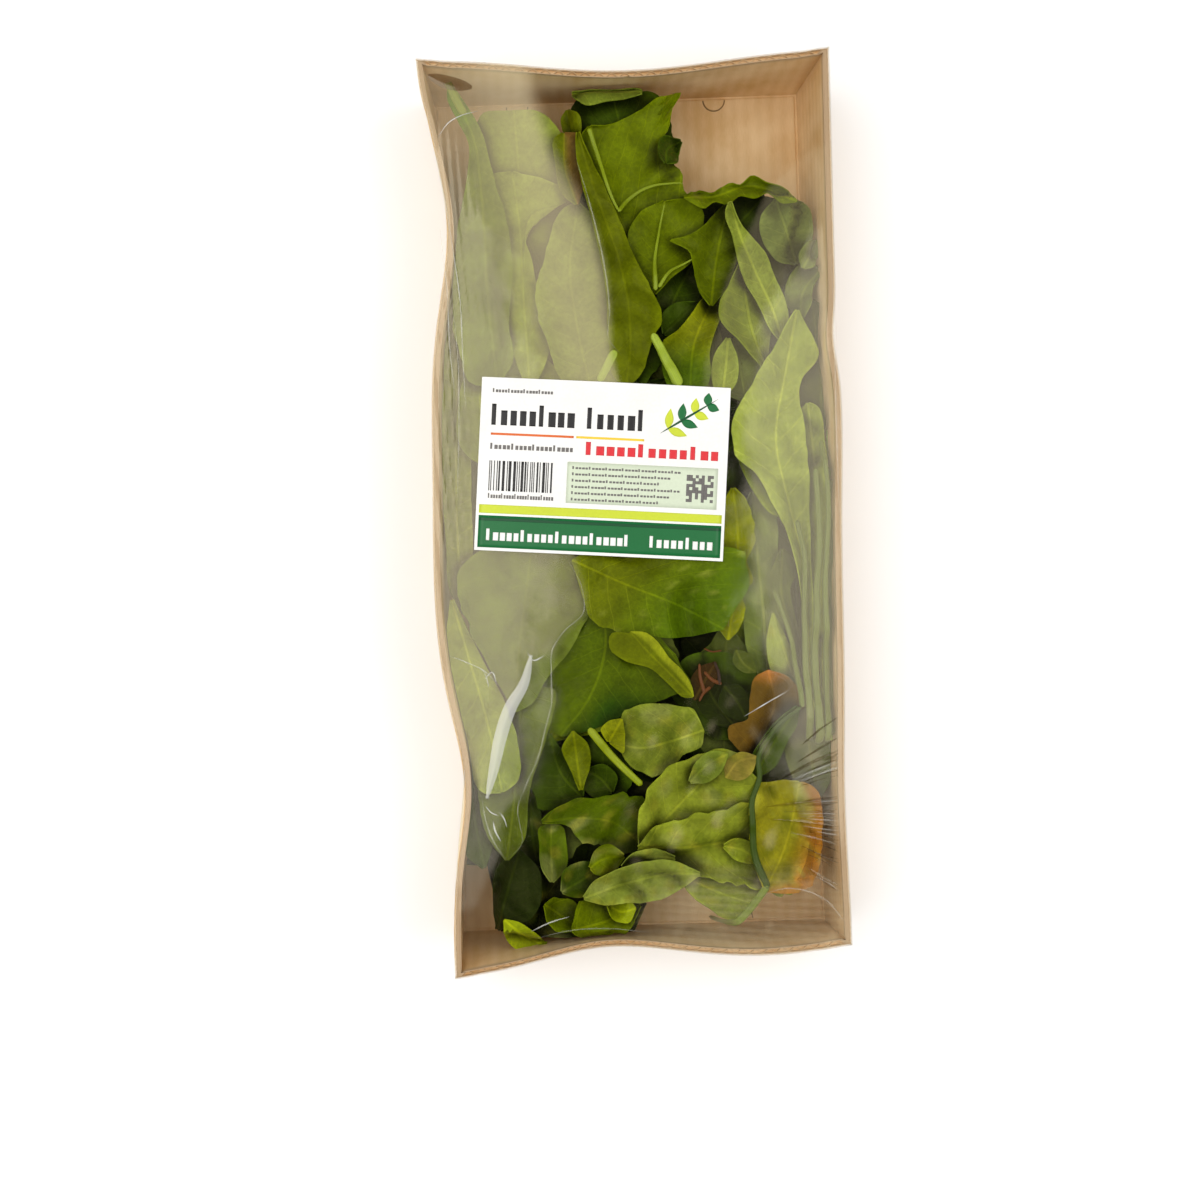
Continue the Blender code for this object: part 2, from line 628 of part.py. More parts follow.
def make_core(look):
    """The mass of leaves below those that show: a slab with a lumpy top and rounded plan."""
    across, along = CORE_STEPS
    u = np.linspace(-1, 1, across + 1)[:, None]
    v = np.linspace(0, 1, along + 1)[None, :]
    leftness = np.tanh(-u * CORE_END_SLOPE)
    far_end = CORE_FAR_END[0] + CORE_FAR_END[1] * leftness
    near_end = CORE_NEAR_END[0] + CORE_NEAR_END[1] * leftness
    y = near_end + (far_end - near_end) * v
    x = u * CORE_HALF_WIDTH * (1 - CORE_END_TAPER * np.abs(2 * v - 1) ** 6)
    lumps = np.sin(x / 9 + y / 23) * np.cos(y / 13 - x / 17)
    top = CORE_TOP + CORE_LUMP * lumps - CORE_END_DROP * (2 * v - 1) ** 8
    flat = np.stack([x, y], axis=-1).reshape(-1, 2)
    upper = np.column_stack([flat, top.reshape(-1)])
    middle = flat.mean(axis=0)
    foot = middle + (flat - middle) * CORE_FOOT
    lower = np.column_stack([foot, np.full(len(flat), FLOOR_TOP + HEAP_GAP)])
    row = along + 1
    offset = len(flat)
    faces = []
    for i in range(across):
        for j in range(along):
            quad = (i * row + j, (i + 1) * row + j, (i + 1) * row + j + 1, i * row + j + 1)
            faces.append(quad)
            faces.append(tuple(corner + offset for corner in reversed(quad)))
    edge = [i * row for i in range(across + 1)]
    edge += [across * row + j for j in range(1, row)]
    edge += [i * row + along for i in range(across - 1, -1, -1)]
    edge += [j for j in range(along - 1, 0, -1)]
    for a, b in zip(edge, edge[1:] + edge[:1]):
        faces.append((b, a, a + offset, b + offset))
    return add_object("spinach", np.concatenate([upper, lower]), faces, look)


def make_cavity(look):
    """The space inside the tray that the heap is cut to, a little clear of floor and walls."""
    inside = BOARD + HEAP_GAP
    rows = [level(wall_loop(BOARD / WALL_HEIGHT, inside), FLOOR_TOP + HEAP_GAP / 2)]
    for share in WALL_SHARES[1:]:
        rows.append(level(wall_loop(share, inside), TRAY_BASE + share * WALL_HEIGHT))
    rows.append(level(wall_loop(1.0, inside), RIM_TOP + 2 * FILM_RISE))
    return closed_loft("cavity", rows, look)


def make_spinach(look):
    """Core and leaves in one solid, cut clear of the tray."""
    heap = make_core(look)
    pieces = [make_leaf(number, *row, look) for number, row in enumerate(LEAVES)]
    pieces += [make_stem(*row, look) for row in STEMS]
    join_all(heap, pieces)
    join_all(heap, [make_cavity(look)], "INTERSECT")
    keep_largest_island(heap)


def main():
    for old in list(bpy.data.objects):
        bpy.data.objects.remove(old)
    make_tray(material("kraft_board", (0.52, 0.36, 0.2), 0.85))
    make_spinach(material("spinach_leaf", (0.13, 0.22, 0.02), 0.5))
    make_film(material("clear_film", (0.9, 0.92, 0.9), 0.08, alpha=0.2))
    make_label(material("label_paper", (0.88, 0.88, 0.87), 0.45))


main()
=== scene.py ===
"""Spinach leaves in a corrugated kraft tray, wrapped in clear film that carries a paper label.

Every length is in millimetres until MM turns it into Blender's metres. Points "on the plan" are
drawn square to the photograph: one step is 0.4 mm, x runs right and y runs down.
"""

import math

import bpy
import numpy as np
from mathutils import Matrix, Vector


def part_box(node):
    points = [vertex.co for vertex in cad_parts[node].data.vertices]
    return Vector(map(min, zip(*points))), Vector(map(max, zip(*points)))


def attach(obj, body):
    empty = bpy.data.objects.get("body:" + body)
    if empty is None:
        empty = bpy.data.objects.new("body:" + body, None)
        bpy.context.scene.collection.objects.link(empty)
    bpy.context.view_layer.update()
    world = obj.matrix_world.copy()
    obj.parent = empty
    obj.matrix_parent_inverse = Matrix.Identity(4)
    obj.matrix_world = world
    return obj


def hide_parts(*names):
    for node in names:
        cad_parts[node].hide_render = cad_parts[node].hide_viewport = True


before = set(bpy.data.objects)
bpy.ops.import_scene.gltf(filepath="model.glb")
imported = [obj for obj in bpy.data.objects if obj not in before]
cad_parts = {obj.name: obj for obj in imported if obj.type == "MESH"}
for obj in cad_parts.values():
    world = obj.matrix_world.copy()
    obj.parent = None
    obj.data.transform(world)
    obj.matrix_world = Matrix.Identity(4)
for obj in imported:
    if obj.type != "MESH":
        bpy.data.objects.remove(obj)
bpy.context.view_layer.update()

MM = 0.001
tray_low, tray_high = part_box("tray")
TRAY_BASE = tray_low.z / MM
RIM_TOP = tray_high.z / MM

# Tray, as the CAD model has it: a rectangular floor, walls that lean out and are dented by the
# film. Corners run anticlockwise; a dent is a place along its wall, a depth and a spread.
BOARD = 2.3
WALL_HEIGHT = RIM_TOP - TRAY_BASE
FLOOR_TOP = TRAY_BASE + BOARD
FLOOR_SIZE = (159.0, 357.0)
FLOOR_CENTRE = (-0.8, -0.6)
WALL_CURVE = 1.25
# Share of the rim's dent that reaches the floor's edge, on the end walls and on the long walls. The
# long walls keep more of it than in the CAD model.
FLOOR_DENT = (0.0, 0.75)
RIM_CORNERS = np.array([(-80.0, -186.5), (78.2, -178.4), (81.5, 180.0), (-83.0, 181.0)])
WALL_DENTS = (
    ((-20.0, 7.6, 25.0), (48.0, -1.5, 18.0)),
    ((64.0, 1.8, 9.0), (32.0, -1.4, 25.0), (-118.0, 1.2, 25.0)),
    ((0.0, 7.0, 38.0),),
    ((115.0, 9.5, 30.0), (-110.0, 7.0, 24.0), (-33.0, -1.8, 30.0)),
)
INWARDS = np.array([(0.0, 1.0), (-1.0, 0.0), (0.0, -1.0), (1.0, 0.0)])
CORNER_REACH = 0.06
BOX_CENTRE = (RIM_CORNERS.min(axis=0) + RIM_CORNERS.max(axis=0)) / 2
LINER = 0.35
FLUTE_PITCH = 5.3
# How deep the open flutes show between the liners, along the end rims.
FLUTE_DEPTH = 1.4
FLUTE_HALF = 0.12
RIM_STEPS = (96, 200)
CREASE_DEPTH = 0.45
TONGUE_RADIUS = 4.3
TONGUE_HEIGHT = 0.5
TONGUE_INSET = 1.4
TONGUE_X = (-43.0, 41.0)
SEAM_X = 2.0
GROOVE = 0.6

# Film, as the CAD model has it. A sag is a place across and along, a depth and a spread.
FILM_MIDDLE = 0.5
FILM_RISE = 3.2
FILM_SPAN = (78.0, 176.0)
FILM_SAGS = ((46.0, 138.0, 2.4, 26.0), (44.0, -158.0, 1.6, 18.0))
FILM_TUCK = 32.0
FILM_INDEX = 1.8
FILM_CELLS = (158, 356)
# Folds stay below this height and within this distance of the middle, inside the CAD film.
FILM_CEILING = 50.3
FOLD_LIMIT = 81.5

# Label, as the CAD model has it, and its corners on the plan.
LABEL_SIZE = (99.0, 69.0)
LABEL_CENTRE = (-14.0, 17.4)
LABEL_TURN = -4.7
LABEL_LIFT = 0.62
PAPER = 0.14
INK_STEP = 0.035
PRINT_MARGIN = 1.2
INK_ROUGHNESS = 0.38

# Plan and camera. The camera stands over CAMERA_FOOT on the plan, and what lies below the rim
# looks nearer to that point than it is.
PLAN_STEP = 0.4
PLAN_ORIGIN = (640, 505)
PLAN_TURN = 2.0
PLAN_SIZE = 1200
CAMERA_FOOT = (512, 605)
CAMERA_HEIGHT = 627.0
LEAF_DEPTH = 5.0

# Heap of leaves. A field of heights, one a CELL, grows as leaf after leaf is laid on it.
CELL = 1.0
HALF_FIELD = (84, 186)
LEAF_THICKNESS = 0.4
LEAF_GAP = 0.5
REST_LOW = 28.0
REST_HIGH = 37.0
# Share of the light that a leaf deep in the heap, or right beside the one above it, loses.
HOLLOW_SHADE = 0.7
CONTACT_SHADE = 0.5
# Leaves that nothing carries hang down beyond this place along the tray.
DROOP = 0.004
DROOP_FROM = 150.0
FILM_CLEARANCE = 0.9
LAYER_STEP = 0.5
END_WIDTH = 0.5
# The bed fills the tray between its ends, each a middle place and how far it slants to the left.
BED_TOP = 29.0
BED_HALF_WIDTH = 70.0
BED_FAR_END = (133.0, 17.0)
BED_NEAR_END = (-151.0, -7.0)
# The first of the drawn leaves go to the piece leaves_lower, the rest to leaves_upper.
LOWER_LEAVES = 30


def smooth_bump(place, centre, spread):
    """A bell of height 1 at centre that fades out over a few times spread."""
    return np.exp(-((np.asarray(place) - centre) ** 2) / (2 * spread**2))


def smooth_step(value, low, high):
    """0 below low, 1 above high and an S curve between."""
    t = np.clip((value - low) / (high - low), 0, 1)
    return t * t * (3 - 2 * t)


def ripples(x, y, size, seed, count=7):
    """Smooth random hills from -1 to 1: a sum of sine waves about size long, in all directions."""
    draw = np.random.default_rng(seed)
    total = 0
    for angle, stretch, shift in draw.uniform(0, 1, (count, 3)):
        turn = 2 * math.pi * angle
        wave = 2 * math.pi / (size * (0.7 + 0.8 * stretch))
        total = total + np.sin(wave * (x * math.cos(turn) + y * math.sin(turn)) + 50 * shift)
    return total / (0.75 * count)


def smooth_curve(points, count):
    """Cubic curve through the points, sampled at count even steps of its chord length."""
    points = np.asarray(points, float)
    place = np.concatenate([[0], np.cumsum(np.linalg.norm(np.diff(points, axis=0), axis=1))])
    slope = np.gradient(points, place, axis=0)
    at = np.linspace(0, place[-1], count)
    i = np.clip(np.searchsorted(place, at, side="right") - 1, 0, len(points) - 2)
    width = (place[i + 1] - place[i])[:, None]
    t = (at - place[i])[:, None] / width
    start = (1 + 2 * t) * (1 - t) ** 2 * points[i] + t * (1 - t) ** 2 * width * slope[i]
    end = t**2 * (3 - 2 * t) * points[i + 1] + t**2 * (t - 1) * width * slope[i + 1]
    return start + end


def to_pack(points, depth=0.0):
    """Turns points on the plan into the pack's millimetres, for things depth below the rim."""
    points = np.asarray(points, float)
    points = CAMERA_FOOT + (points - CAMERA_FOOT) * (1 + depth / CAMERA_HEIGHT)
    flat = (points - PLAN_ORIGIN) * (PLAN_STEP, -PLAN_STEP)
    turn = math.radians(PLAN_TURN)
    spin = np.array([[math.cos(turn), math.sin(turn)], [-math.sin(turn), math.cos(turn)]])
    return flat @ spin.T - BOX_CENTRE


def grid_faces(rows, columns):
    """Quads of a grid whose points are numbered row by row."""
    i, j = np.meshgrid(np.arange(rows - 1), np.arange(columns - 1), indexing="ij")
    a = (i * columns + j).ravel()
    return np.stack([a, a + columns, a + columns + 1, a + 1], axis=1)


def ring_faces(rows, count):
    """Quads between successive closed rows of count points."""
    i, j = np.meshgrid(np.arange(rows - 1), np.arange(count), indexing="ij")
    a = (i * count + j).ravel()
    b = (i * count + (j + 1) % count).ravel()
    return np.stack([a, b, b + count, a + count], axis=1)


def capped_rings(rows, count):
    """Faces of a solid made of closed rows: quads between the rows and a cap on the first and last."""
    last = (rows - 1) * count
    caps = [list(range(count))[::-1], list(range(last, last + count))]
    return ring_faces(rows, count).tolist() + caps


def closed_sheet(upper, lower):
    """Points and quads of a solid between two grids of points: both faces and a band round them."""
    rows, columns = upper.shape[:2]
    half = rows * columns
    top = grid_faces(rows, columns)
    number = np.arange(half).reshape(rows, columns)
    edge = np.concatenate(
        [number[:-1, 0], number[-1, :-1], number[:0:-1, -1], number[0, :0:-1]]
    )
    after = np.roll(edge, -1)
    band = np.stack([after, edge, edge + half, after + half], axis=1)
    faces = np.concatenate([top, top[:, ::-1] + half, band])
    return np.concatenate([upper.reshape(-1, 3), lower.reshape(-1, 3)]), faces


def grid_normals(points):
    """Unit normals of a grid of points, from its two directions."""
    along = np.gradient(points, axis=0)
    across = np.gradient(points, axis=1)
    normal = np.cross(along, across)
    return normal / np.maximum(np.linalg.norm(normal, axis=-1, keepdims=True), 1e-9)


def joined(parts):
    """Shapes as one: all their points, faces that count on from part to part, and further fields."""
    starts = np.cumsum([0] + [len(part[0]) for part in parts])
    faces = []
    for (_, quads, *_), start in zip(parts, starts):
        if isinstance(quads, np.ndarray):
            faces += (quads + start).tolist()
        else:
            faces += [[corner + start for corner in face] for face in quads]
    points, _, *fields = zip(*parts)
    return np.concatenate(points), faces, *[np.concatenate(field) for field in fields]


def add_piece(name, points, faces, look, replaced, finish, sharp=180.0, fields=None):
    """Makes a mesh piece from points in millimetres and gives it to the frame.

    Edges that turn by more than sharp degrees stay crisp. fields maps an attribute's name to one
    value a point: colours have four numbers, vectors three.
    """
    mesh = bpy.data.meshes.new(name)
    mesh.from_pydata((np.asarray(points) * MM).tolist(), [], [list(face) for face in faces])
    mesh.materials.append(look)
    for field, values in (fields or {}).items():
        values = np.asarray(values, float)
        kinds = {4: ("FLOAT_COLOR", "color"), 3: ("FLOAT_VECTOR", "vector"), 1: ("FLOAT", "value")}
        kind, key = kinds[values.size // len(points)]
        mesh.attributes.new(field, kind, "POINT").data.foreach_set(key, values.ravel())
    mesh.shade_smooth()
    if sharp < 180:
        mesh.set_sharp_from_angle(angle=math.radians(sharp))
    piece = bpy.data.objects.new(name, mesh)
    bpy.context.scene.collection.objects.link(piece)
    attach(piece, "root")
    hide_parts(replaced)
    return piece


# Materials.


def linear(colour):
    """An sRGB hex colour as linear red, green, blue and alpha."""
    parts = [int(colour[i : i + 2], 16) / 255 for i in (0, 2, 4)]
    return (*[p / 12.92 if p <= 0.04045 else ((p + 0.055) / 1.055) ** 2.4 for p in parts], 1.0)


def add_node(tree, kind, inputs=None, **settings):
    """Adds a node, sets its properties, and fills its inputs with values or other nodes' outputs."""
    made = tree.nodes.new(kind)
    for name, value in settings.items():
        setattr(made, name, value)
    for socket, value in (inputs or {}).items():
        if isinstance(value, bpy.types.NodeSocket):
            tree.links.new(value, made.inputs[socket])
        else:
            made.inputs[socket].default_value = value
    return made


def new_material(name):
    """An empty material: its node tree, its Principled shader and its output."""
    made = bpy.data.materials.new(name)
    made.use_nodes = True
    tree = made.node_tree
    return made, tree, tree.nodes["Principled BSDF"], tree.nodes["Material Output"]


def fresh_leaf():
    """Spinach blade: waxy cuticle over soft green tissue, lit through, with a net of paler veins."""
    made, tree, shader, output = new_material("fresh_leaf")
    painted = add_node(tree, "ShaderNodeAttribute", attribute_name="tint")
    tint, strength = painted.outputs["Color"], painted.outputs["Alpha"]
    place = add_node(tree, "ShaderNodeAttribute", attribute_name="place").outputs["Vector"]
    split = add_node(tree, "ShaderNodeSeparateXYZ", {"Vector": place})
    spot = add_node(tree, "ShaderNodeTexCoord").outputs["Object"]
    # Patches of tone about 9 mm wide, and a wobble that keeps the veins from running straight.
    patch = add_node(tree, "ShaderNodeTexNoise", {"Vector": spot, "Scale": 110.0, "Detail": 2.0})
    fine = add_node(tree, "ShaderNodeTexNoise", {"Vector": spot, "Scale": 620.0, "Detail": 1.0})
    wobble = add_node(
        tree, "ShaderNodeMath", {0: patch.outputs[0], 1: 0.3, 2: split.outputs["Z"]},
        operation="MULTIPLY_ADD",
    )
    swing = add_node(tree, "ShaderNodeMath", {0: wobble.outputs[0], 1: 0.5}, operation="PINGPONG")
    side_vein = add_node(
        tree, "ShaderNodeMapRange",
        {"Value": swing.outputs[0], "From Min": 0.045, "From Max": 0.0, "To Max": 0.85},
        interpolation_type="SMOOTHSTEP",
    )
    from_rib = add_node(tree, "ShaderNodeMath", {0: split.outputs["X"]}, operation="ABSOLUTE")
    rib = add_node(
        tree, "ShaderNodeMapRange",
        {"Value": from_rib.outputs[0], "From Min": 0.75, "From Max": 0.25},
        interpolation_type="SMOOTHSTEP",
    )
    # The smallest veins enclose cells about 2 mm wide.
    net = add_node(
        tree, "ShaderNodeTexVoronoi", {"Vector": spot, "Scale": 420.0}, feature="DISTANCE_TO_EDGE"
    )
    net_line = add_node(
        tree, "ShaderNodeMapRange",
        {"Value": net.outputs["Distance"], "From Min": 0.12, "From Max": 0.0, "To Max": 0.3},
    )
    veins = add_node(
        tree, "ShaderNodeMath", {0: side_vein.outputs[0], 1: rib.outputs[0]}, operation="MAXIMUM"
    )
    all_veins = add_node(
        tree, "ShaderNodeMath", {0: veins.outputs[0], 1: net_line.outputs[0]}, operation="MAXIMUM"
    )
    tone = add_node(
        tree, "ShaderNodeMapRange",
        {"Value": patch.outputs[0], "From Min": 0.3, "From Max": 0.7, "To Min": 0.76, "To Max": 1.18},
    )
    grain = add_node(
        tree, "ShaderNodeMapRange",
        {"Value": fine.outputs[0], "From Min": 0.3, "From Max": 0.7, "To Min": 0.9, "To Max": 1.1},
    )
    level = add_node(tree, "ShaderNodeMath", {0: tone.outputs[0], 1: grain.outputs[0]}, operation="MULTIPLY")
    toned = add_node(
        tree, "ShaderNodeVectorMath", {0: tint, "Scale": level.outputs[0]}, operation="SCALE"
    )
    paler = add_node(
        tree, "ShaderNodeVectorMath", {0: toned.outputs[0], 1: (1.9, 1.75, 1.7), 2: (0.02, 0.025, 0.0)},
        operation="MULTIPLY_ADD",
    )
    amount = add_node(tree, "ShaderNodeMath", {0: all_veins.outputs[0], 1: strength}, operation="MULTIPLY")
    veined = add_node(tree, "ShaderNodeMix", {"Factor": amount.outputs[0]}, data_type="RGBA")
    tree.links.new(toned.outputs[0], veined.inputs[6])
    tree.links.new(paler.outputs[0], veined.inputs[7])
    colour = veined.outputs[2]
    height = add_node(
        tree, "ShaderNodeMath", {0: veins.outputs[0], 1: -0.7, 2: fine.outputs[0]},
        operation="MULTIPLY_ADD",
    )
    relief = add_node(
        tree, "ShaderNodeBump", {"Height": height.outputs[0], "Strength": 0.35, "Distance": 0.0006}
    )
    tree.links.new(colour, shader.inputs["Base Color"])
    tree.links.new(relief.outputs[0], shader.inputs["Normal"])
    shader.inputs["Roughness"].default_value = 0.42
    shader.inputs["IOR"].default_value = 1.4
    shader.inputs["Specular IOR Level"].default_value = 0.3
    shader.inputs["Specular Tint"].default_value = (1.0, 1.0, 0.35, 1.0)
    glow = add_node(tree, "ShaderNodeBsdfTranslucent", {"Color": colour, "Normal": relief.outputs[0]})
    both = add_node(tree, "ShaderNodeMixShader", {0: 0.25, 1: shader.outputs[0], 2: glow.outputs[0]})
    tree.links.new(both.outputs[0], output.inputs["Surface"])
    return made


def fresh_stalk():
    """Spinach stalk: smooth, juicy and paler than the blade, with fine lines along it."""
    made, tree, shader, _ = new_material("fresh_stalk")
    place = add_node(tree, "ShaderNodeAttribute", attribute_name="place").outputs["Vector"]
    tint = add_node(tree, "ShaderNodeAttribute", attribute_name="tint").outputs["Color"]
    stretch = add_node(tree, "ShaderNodeMapping", {"Vector": place, "Scale": (1.6, 0.05, 1.0)})
    lines = add_node(tree, "ShaderNodeTexNoise", {"Vector": stretch.outputs[0], "Scale": 1.5, "Detail": 3.0})
    level = add_node(
        tree, "ShaderNodeMapRange",
        {"Value": lines.outputs[0], "From Min": 0.3, "From Max": 0.7, "To Min": 0.7, "To Max": 1.2},
    )
    toned = add_node(tree, "ShaderNodeVectorMath", {0: tint, "Scale": level.outputs[0]}, operation="SCALE")
    relief = add_node(
        tree, "ShaderNodeBump", {"Height": lines.outputs[0], "Strength": 0.4, "Distance": 0.0004}
    )
    tree.links.new(toned.outputs[0], shader.inputs["Base Color"])
    tree.links.new(relief.outputs[0], shader.inputs["Normal"])
    shader.inputs["Roughness"].default_value = 0.35
    shader.inputs["IOR"].default_value = 1.4
    return made


def kraft_board():
    """Corrugated kraft: brown unbleached liner with fibres, the flutes showing faintly through, and a duller
    rim top that is partly cut edge and partly painted shade.
    """
    made, tree, shader, _ = new_material("kraft_board")
    across = add_node(tree, "ShaderNodeAttribute", attribute_name="flutes").outputs["Vector"]
    spot = add_node(tree, "ShaderNodeTexCoord").outputs["Object"]
    cloud = add_node(tree, "ShaderNodeTexNoise", {"Vector": spot, "Scale": 45.0, "Detail": 2.0})
    fibre_place = add_node(tree, "ShaderNodeMapping", {"Vector": across, "Scale": (3.2, 0.35, 1.0)})
    fibre = add_node(
        tree, "ShaderNodeTexNoise", {"Vector": fibre_place.outputs[0], "Scale": 0.9, "Detail": 3.0}
    )
    split = add_node(tree, "ShaderNodeSeparateXYZ", {"Vector": across})
    turn = add_node(
        tree, "ShaderNodeMath", {0: split.outputs["X"], 1: 2 * math.pi / FLUTE_PITCH}, operation="MULTIPLY"
    )
    wave = add_node(tree, "ShaderNodeMath", {0: turn.outputs[0]}, operation="COSINE")
    # Tone: soft clouds, fine fibres and a slightly darker line over each flute.
    mixed = add_node(
        tree, "ShaderNodeMath", {0: fibre.outputs[0], 1: 0.3, 2: cloud.outputs[0]}, operation="MULTIPLY_ADD"
    )
    lined = add_node(
        tree, "ShaderNodeMath", {0: wave.outputs[0], 1: 0.04, 2: mixed.outputs[0]}, operation="MULTIPLY_ADD"
    )
    ramp = add_node(
        tree, "ShaderNodeMapRange",
        {"Value": lined.outputs[0], "From Min": 0.4, "From Max": 0.9},
    )
    colour = add_node(tree, "ShaderNodeMix", {"Factor": ramp.outputs[0]}, data_type="RGBA")
    colour.inputs[6].default_value = linear("dab27a")
    colour.inputs[7].default_value = linear("f8daac")
    # Rim top greyer and darker: partly the dull fibres of the cut edge, partly painted shade where the lamps
    # fall full on it.
    cut_edge_and_shade = add_node(tree, "ShaderNodeMix", {"Factor": split.outputs["Z"]}, data_type="RGBA")
    tree.links.new(colour.outputs[2], cut_edge_and_shade.inputs[6])
    cut_edge_and_shade.inputs[7].default_value = linear("b79c7c")
    height = add_node(
        tree, "ShaderNodeMath", {0: wave.outputs[0], 1: 0.5, 2: fibre.outputs[0]}, operation="MULTIPLY_ADD"
    )
    relief = add_node(
        tree, "ShaderNodeBump", {"Height": height.outputs[0], "Strength": 0.3, "Distance": 0.0003}
    )
    tree.links.new(cut_edge_and_shade.outputs[2], shader.inputs["Base Color"])
    tree.links.new(relief.outputs[0], shader.inputs["Normal"])
    shader.inputs["Roughness"].default_value = 0.82
    shader.inputs["Specular IOR Level"].default_value = 0.25
    return made


def stretch_film(name, milk_colour):
    """PVC cling film: clear and glossy on both faces, milky where it gathers at the corners, with painted
    reflection and painted glare as a milky haze, and painted highlight and painted shade along its folds.
    """
    made, tree, shader, output = new_material(name)
    haze = add_node(tree, "ShaderNodeAttribute", attribute_name="haze").outputs["Fac"]
    spot = add_node(tree, "ShaderNodeTexCoord").outputs["Object"]
    crinkle = add_node(tree, "ShaderNodeTexNoise", {"Vector": spot, "Scale": 75.0, "Detail": 1.0})
    relief = add_node(
        tree, "ShaderNodeBump", {"Height": crinkle.outputs[0], "Strength": 0.12, "Distance": 0.001}
    )
    # The index gives one sheet the reflection of both faces of the film, about 8 percent, and is
    # turned over for light that leaves, so that it passes as easily as light that enters.
    behind = add_node(tree, "ShaderNodeNewGeometry").outputs["Backfacing"]
    index = add_node(
        tree, "ShaderNodeMapRange", {"Value": behind, "To Min": FILM_INDEX, "To Max": 1 / FILM_INDEX}
    )
    shine = add_node(tree, "ShaderNodeFresnel", {"IOR": index.outputs[0], "Normal": relief.outputs[0]})
    # Dark folds tint what shows through them brown: painted shade.
    fold_shade = add_node(tree, "ShaderNodeAttribute", attribute_name="fold_shade").outputs["Fac"]
    through = add_node(tree, "ShaderNodeMix", {"Factor": fold_shade}, data_type="RGBA")
    through.inputs[6].default_value = (0.98, 0.98, 0.97, 1.0)
    through.inputs[7].default_value = (0.3, 0.17, 0.07, 1.0)
    clear = add_node(tree, "ShaderNodeBsdfTransparent", {"Color": through.outputs[2]})
    gloss = add_node(
        tree, "ShaderNodeBsdfGlossy",
        {"Color": (1.0, 0.93, 0.74, 1.0), "Roughness": 0.1, "Normal": relief.outputs[0]},
    )
    film = add_node(
        tree, "ShaderNodeMixShader", {0: shine.outputs[0], 1: clear.outputs[0], 2: gloss.outputs[0]}
    )
    # The haze attribute lays a milky diffuse layer: painted reflection and painted glare over broad areas,
    # painted highlight on folds, and a little milkiness where the film gathers at the corners.
    milk = add_node(tree, "ShaderNodeBsdfDiffuse", {"Color": linear(milk_colour)})
    cloudy = add_node(tree, "ShaderNodeMixShader", {0: haze, 1: film.outputs[0], 2: milk.outputs[0]})
    tree.links.new(cloudy.outputs[0], output.inputs["Surface"])
    tree.nodes.remove(shader)
    return made


def coated_paper(name, colour, roughness=0.42):
    """Coated label paper or a field of ink on it: nearly even, with the grain of the sheet."""
    made, tree, shader, _ = new_material(name)
    spot = add_node(tree, "ShaderNodeTexCoord").outputs["Object"]
    grain = add_node(tree, "ShaderNodeTexNoise", {"Vector": spot, "Scale": 900.0, "Detail": 3.0})
    cloud = add_node(tree, "ShaderNodeTexNoise", {"Vector": spot, "Scale": 60.0, "Detail": 2.0})
    both = add_node(tree, "ShaderNodeMath", {0: grain.outputs[0], 1: cloud.outputs[0]}, operation="ADD")
    level = add_node(
        tree, "ShaderNodeMapRange",
        {"Value": both.outputs[0], "From Min": 0.7, "From Max": 1.3, "To Min": 0.94, "To Max": 1.03},
    )
    toned = add_node(
        tree, "ShaderNodeVectorMath", {0: linear(colour)[:3], "Scale": level.outputs[0]}, operation="SCALE"
    )
    relief = add_node(
        tree, "ShaderNodeBump", {"Height": grain.outputs[0], "Strength": 0.08, "Distance": 0.0002}
    )
    tree.links.new(toned.outputs[0], shader.inputs["Base Color"])
    tree.links.new(relief.outputs[0], shader.inputs["Normal"])
    shader.inputs["Roughness"].default_value = roughness
    return made


# Tray.


def wall_side(side, along, share, inward=0.0):
    """Points [share, along] of one wall: a straight line between two corners, bent by the dents.

    The corners slide from the floor's rectangle to the rim as share grows to the power WALL_CURVE;
    inward moves the line to its left, with mitred ends.
    """
    along = np.asarray(along, float)
    lean = np.asarray(share, float).reshape(-1, 1, 1) ** WALL_CURVE
    half = np.array(FLOOR_SIZE) / 2
    floor = np.array([(-1, -1), (1, -1), (1, 1), (-1, 1)]) * half + FLOOR_CENTRE
    ahead = np.roll(RIM_CORNERS, -1, axis=0) - RIM_CORNERS
    ahead /= np.linalg.norm(ahead, axis=1)[:, None]
    after = np.stack([-ahead[:, 1], ahead[:, 0]], axis=1)
    before = np.roll(after, 1, axis=0)
    mitre = (before + after) / (1 + (before * after).sum(axis=1))[:, None]
    corners = floor + (RIM_CORNERS - floor) * lean + inward * mitre
    start, end = corners[:, side, None], corners[:, (side + 1) % 4, None]
    rim_start, rim_end = RIM_CORNERS[side], RIM_CORNERS[(side + 1) % 4]
    place = (rim_start + along[:, None] * (rim_end - rim_start))[:, side % 2]
    depth = sum(d * smooth_bump(place, centre, spread) for centre, d, spread in WALL_DENTS[side])
    depth = depth * np.clip(np.minimum(along, 1 - along) / CORNER_REACH, 0, 1)
    bent = (depth[:, None] * INWARDS[side]) * (lean + (1 - lean) * FLOOR_DENT[side % 2])
    return start + along[:, None] * (end - start) + bent - BOX_CENTRE


def wall_ring(steps, share, inward=0.0):
    """Closed rows [share, point] round all four walls, with steps points on a short and long wall."""
    sides = [wall_side(n, np.arange(steps[n % 2]) / steps[n % 2], share, inward) for n in range(4)]
    return np.concatenate(sides, axis=1)


def at_height(rows, heights):
    """Adds heights, one a row or one a point, to flat rows of points."""
    heights = np.broadcast_to(np.reshape(heights, (len(rows), -1)), rows.shape[:2])
    return np.concatenate([rows, heights[..., None]], axis=-1)


